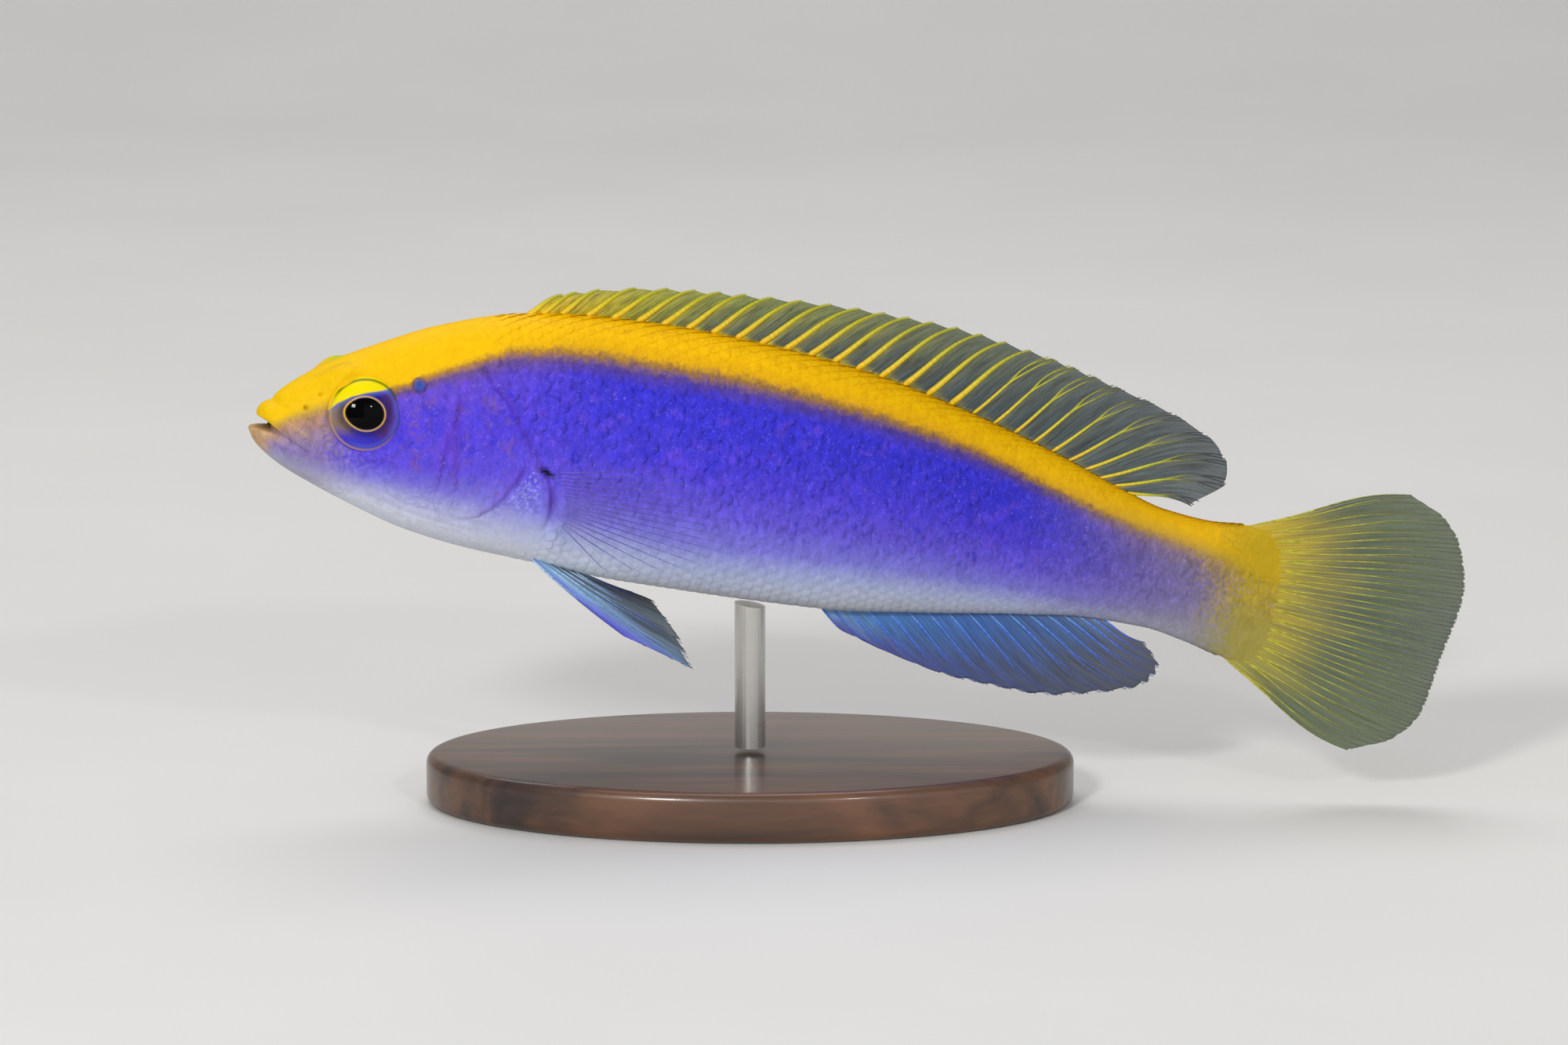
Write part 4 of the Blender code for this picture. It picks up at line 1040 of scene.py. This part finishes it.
def ray_finish(name, stops, opacity=(1.0, 0.6), joints=0.2):
    """Horny fin ray in short joints, coloured along its length; grey comes sooner on rear rays."""
    material, tree, shader = new_finish(name)
    web = add_node(tree, "Attribute", attribute_name="web").outputs["Vector"]
    _, share, _ = add_node(tree, "SeparateXYZ", {"Vector": web}).outputs
    tone = add_node(tree, "Attribute", attribute_name="tone").outputs["Fac"]
    dashes = add_node(tree, "Mapping", {"Vector": web, "Scale": (3.0, 34.0, 1.0)})
    dashes = add_node(tree, "TexNoise", {"Vector": dashes, "Scale": 1.0, "Detail": 1.0})
    dashes = add_node(
        tree, "MapRange",
        {"Value": dashes, "From Min": 0.35, "From Max": 0.65, "To Min": 1 - joints,
         "To Max": 1 + joints},
    )
    colour = add_node(tree, "ValToRGB", {"Fac": tone}, stops)
    colour = add_node(tree, "VectorMath", {0: colour, 1: dashes}, operation="MULTIPLY")
    alpha = add_node(
        tree, "MapRange",
        {"Value": share, "From Min": 0.35, "To Min": opacity[0], "To Max": opacity[1]},
    )
    wire(shader, {"Base Color": colour, "Alpha": alpha, "Roughness": 0.4})
    return material


def fin_piece(node, place, rays, side, forks, thickness, web_material, ray_material, single=0,
              sides=6):
    """A whole fin: its skin and its rays as one piece."""
    web = add_piece(node + "_web", web_mesh(node, place, rays, side), web_material)
    solidify = web.modifiers.new("skin", "SOLIDIFY")
    solidify.thickness = SKIN_OF_FIN / 1000
    solidify.offset = 0
    lines = ray_lines(node, place, rays, side, forks, thickness, single)
    rods = grow(node + "_rays", lines, rays_tree, Sides=sides, Finish=ray_material)
    web.data = plain_mesh(web)
    web.modifiers.clear()
    with bpy.context.temp_override(active_object=web, selected_editable_objects=[web, rods]):
        bpy.ops.object.join()
    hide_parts(node)
    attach(web, "root")


rays_tree = ray_tree()
DORSAL_RAYS, ANAL_RAYS, TAIL_RAYS, PECTORAL_RAYS, PELVIC_RAYS = 29, 17, 17, 17, 6

# Dorsal fin: yellow spines in smoke-grey skin, then yellow rays that turn grey half way up.
fin_piece(
    "dorsal_fin",
    median_fin(DORSAL_RAYS, DORSAL, lambda s: body_at(s)[0] - 0.15, 0.06),
    DORSAL_RAYS, 0, [(0.45, 0.14), (0.72, 0.08)], (0.115, 0.045),
    fin_finish(
        "dorsal_fin_skin", DORSAL_RAYS,
        [(0.0, "dcb404"), (0.09, "b4a008"), (0.17, "7c8020"), (0.28, "505c4c"), (0.5, "38464c"),
         (0.8, "38464a"), (1.0, "4c5658")],
        [(0.0, "c4ac04"), (0.14, "9c9c0c"), (0.28, "707c24"), (0.42, "646c34"), (0.6, "48543c"),
         (0.8, "384448"), (1.0, "485254")],
        (0.97, 0.68), 0.8, (0.35, 1.2), flare="bcac08",
    ),
    ray_finish(
        "dorsal_fin_ray",
        [(0.0, "ecc004"), (0.12, "dcbc04"), (0.3, "c8bc08"), (0.5, "b4b418"), (0.7, "8c8c38"),
         (0.9, "565e54"), (1.0, "383a3e")],
        joints=0.1,
    ),
    single=19,
)

# Anal fin: blue skin, greyer at the edge, with brighter blue rays.
fin_piece(
    "anal_fin",
    median_fin(ANAL_RAYS, ANAL, lambda s: body_at(s)[1] + 0.15, -0.05),
    ANAL_RAYS, 0, [(0.4, 0.16), (0.7, 0.09)], (0.085, 0.035),
    fin_finish(
        "anal_fin_skin", ANAL_RAYS,
        [(0.0, "7ca4cc"), (0.2, "3c74b4"), (0.5, "305ca0"), (0.8, "3c5a88"), (1.0, "646c84")],
        [(0.0, "4a50a0"), (0.3, "38487c"), (0.6, "40485c"), (1.0, "4c505c")],
        (0.97, 0.78), 0.5,
    ),
    ray_finish(
        "anal_fin_ray",
        [(0.0, "78a8dc"), (0.12, "4878d8"), (0.38, "4860c4"), (0.55, "50587c")],
    ),
)

# Tail fin: yellow at the base, olive, then clear grey, with many fine forked yellow rays.
fin_piece(
    "tail_fin", tail_place, TAIL_RAYS, 0, [(0.12, 0.25), (0.4, 0.125)], (0.085, 0.034),
    fin_finish(
        "tail_fin_skin", TAIL_RAYS,
        [(0.0, "c0a41c"), (0.25, "c4a81c"), (0.6, "b8a024"), (1.0, "9c943c")],
        [(0.0, "546042"), (0.5, "4a5848"), (1.0, "5a6648")],
        (1.0, 0.65), 0.4, (0.28, 0.88),
    ),
    ray_finish(
        "tail_fin_ray",
        [(0.0, "a89828"), (0.12, "b0a828"), (0.33, "a8a830"), (0.45, "90943c"), (0.55, "6c744c")],
        (1.0, 0.75), 0.2,
    ),
)

# Pectoral and pelvic fins, in pairs: the first almost clear with violet threads for rays, the
# second pale blue with a violet leading ray.
pectoral_skin = fin_finish(
    "pectoral_fin_skin", PECTORAL_RAYS,
    [(0.0, "7a68d8"), (1.0, "c0b8e0")], [(0.0, "8a80e0"), (1.0, "c8c4e4")], (0.015, 0.01), 0.1,
)
pectoral_ray = ray_finish(
    "pectoral_fin_ray", [(0.0, "7c64c8"), (0.15, "5844a8"), (0.5, "6050b0")], (0.9, 0.15)
)
pelvic_skin = fin_finish(
    "pelvic_fin_skin", PELVIC_RAYS,
    [(0.0, "5c58e8"), (0.05, "7c98d8"), (0.15, "90b8d8"), (0.4, "7ca0bc"), (0.6, "586672"),
     (1.0, "727e8a")],
    [(0.0, "5450e8"), (0.06, "5c68d0"), (0.2, "5c80a8"), (0.45, "4e5a64"), (1.0, "5a646c")],
    (0.97, 0.75), 0.5,
)
pelvic_ray = ray_finish(
    "pelvic_fin_ray", [(0.0, "b0cce4"), (0.2, "7c9cc8"), (0.4, "5060b0"), (0.55, "30363c")]
)
for side, label in ((-1, "left"), (1, "right")):
    fin_piece(
        "pectoral_fin_" + label, pectoral_place, PECTORAL_RAYS, side, [(0.7, 0.12)],
        (0.036, 0.012), pectoral_skin, pectoral_ray, sides=5,
    )
    fin_piece(
        "pelvic_fin_" + label, pelvic_place, PELVIC_RAYS, side, [(0.25, 0.2), (0.5, 0.1)],
        (0.08, 0.025), pelvic_skin, pelvic_ray,
    )

# The stand. An oval foot turned from dark walnut, varnished, with an eased edge.
BASE_HALF_LENGTH, BASE_HALF_WIDTH, BASE_HEIGHT, BASE_EDGE = 19.0, 11.0, 3.0, 0.6
wood, tree, shader = new_finish("varnished_walnut")
spot = add_node(tree, "TexCoord").outputs["Object"]
grain = add_node(tree, "Mapping", {"Vector": spot, "Scale": (60.0, 900.0, 900.0)})
grain = add_node(
    tree, "TexNoise",
    {"Vector": grain, "Scale": 1.0, "Detail": 5.0, "Roughness": 0.6, "Distortion": 0.5},
)
figure = add_node(tree, "Mapping", {"Vector": spot, "Scale": (25.0, 260.0, 120.0)})
figure = add_node(
    tree, "TexNoise", {"Vector": figure, "Scale": 1.0, "Detail": 2.0, "Distortion": 1.2}
)
both = add_node(tree, "Math", {0: grain, 1: 0.45, 2: figure}, operation="MULTIPLY_ADD")
colour = add_node(
    tree, "ValToRGB", {"Fac": both},
    [(0.45, "1e120c"), (0.62, "3a2418"), (0.75, "54351f"), (0.9, "6a4428")],
)
bump = add_node(tree, "Bump", {"Height": grain, "Strength": 0.15, "Distance": 0.00005})
wire(shader, {"Base Color": colour, "Roughness": 0.4, "Coat Weight": 0.5, "Coat Roughness": 0.15,
              "Normal": bump})
foot = bmesh.new()
bmesh.ops.create_cone(
    foot, cap_ends=True, segments=160, radius1=1, radius2=1, depth=BASE_HEIGHT / 1000
)
for vertex in foot.verts:
    vertex.co.x *= BASE_HALF_LENGTH / 1000
    vertex.co.y *= BASE_HALF_WIDTH / 1000
    vertex.co.z += BASE_HEIGHT / 2000
rims = [edge for edge in foot.edges if len(edge.link_faces) == 2
        and abs(edge.link_faces[0].normal.z - edge.link_faces[1].normal.z) > 0.5]
bmesh.ops.bevel(
    foot, geom=rims, offset=BASE_EDGE / 1000, segments=5, profile=0.5, affect="EDGES"
)
mesh = bpy.data.meshes.new("stand_foot")
foot.to_mesh(mesh)
foot.free()
base = add_piece("stand_foot", mesh, wood)
mesh.set_sharp_from_angle(angle=math.radians(35))
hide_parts("stand_base")
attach(base, "root")

# The rod. Drawn stainless steel, brushed round, pinned into the foot and the belly.
steel, tree, shader = new_finish("brushed_steel_rod")
spot = add_node(tree, "TexCoord").outputs["Object"]
brushing = add_node(tree, "Mapping", {"Vector": spot, "Scale": (400.0, 400.0, 9000.0)})
brushing = add_node(tree, "TexNoise", {"Vector": brushing, "Scale": 1.0, "Detail": 2.0})
dull = add_node(tree, "MapRange", {"Value": brushing, "To Min": 0.22, "To Max": 0.42})
wire(shader, {"Base Color": linear("c9c7c2"), "Metallic": 1.0, "Roughness": dull})
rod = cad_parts["stand_rod"]
rod.data.materials.clear()
rod.data.materials.append(steel)

# The studio: a pale sweep of card behind and below, soft light from above, and the camera.
card, tree, shader = new_finish("pale_card")
spot = add_node(tree, "TexCoord").outputs["Object"]
mottle = add_node(tree, "TexNoise", {"Vector": spot, "Scale": 30.0, "Detail": 3.0})
tone = add_node(tree, "ValToRGB", {"Fac": mottle}, [(0.3, "dcdad6"), (0.7, "e0deda")])
wire(shader, {"Base Color": tone, "Roughness": 0.8})
SWEEP = 0.25  # radius of the card's bend
profile = [(-0.8, 0.0), (0.3, 0.0)]
profile += [
    (0.3 + SWEEP * math.sin(a), SWEEP - SWEEP * math.cos(a)) for a in np.linspace(0.1, 1.5, 14)
]
profile += [(0.56, 0.9)]
verts = [(x, y, z) for y, z in profile for x in (-1.2, 1.2)]
faces = [(2 * k, 2 * k + 1, 2 * k + 3, 2 * k + 2) for k in range(len(profile) - 1)]
mesh = bpy.data.meshes.new("floor")
mesh.from_pydata(verts, [], faces)
add_piece("floor", mesh, card)

world = bpy.data.worlds.new("studio")
world.use_nodes = True
wire(world.node_tree.nodes["Background"], {"Color": linear("e8ebf0"), "Strength": 0.45})
bpy.context.scene.world = world
AIM = np.array([1.99, -0.71, 16.8]) / 1000
LIGHTS = [("key", (-0.15, -0.4, 0.24), 0.06, 1.05), ("flash", (0.18, -0.4, 0.24), 0.018, 0.24),
          ("fill", (0.3, -0.4, 0.05), 0.6, 0.6), ("top", (-0.05, 0.14, 0.42), 0.3, 0.8)]
for name, spot, size, power in LIGHTS:
    lamp = bpy.data.lights.new(name, "AREA")
    lamp.energy, lamp.size = power, size
    light = bpy.data.objects.new(name, lamp)
    bpy.context.scene.collection.objects.link(light)
    light.location = spot
    light.rotation_euler = (Vector(AIM) - Vector(spot)).to_track_quat("-Z", "Y").to_euler()

ELEVATION, DISTANCE = math.radians(11), 0.37
camera = bpy.data.objects.new("camera", bpy.data.cameras.new("camera"))
bpy.context.scene.collection.objects.link(camera)
camera.data.lens, camera.data.sensor_width, camera.data.clip_start = 146, 36, 0.01
camera.location = AIM + DISTANCE * np.array([0, -math.cos(ELEVATION), math.sin(ELEVATION)])
camera.rotation_euler = (math.pi / 2 - ELEVATION, 0, 0)
bpy.context.scene.camera = camera
bpy.context.scene.view_settings.view_transform = "Standard"
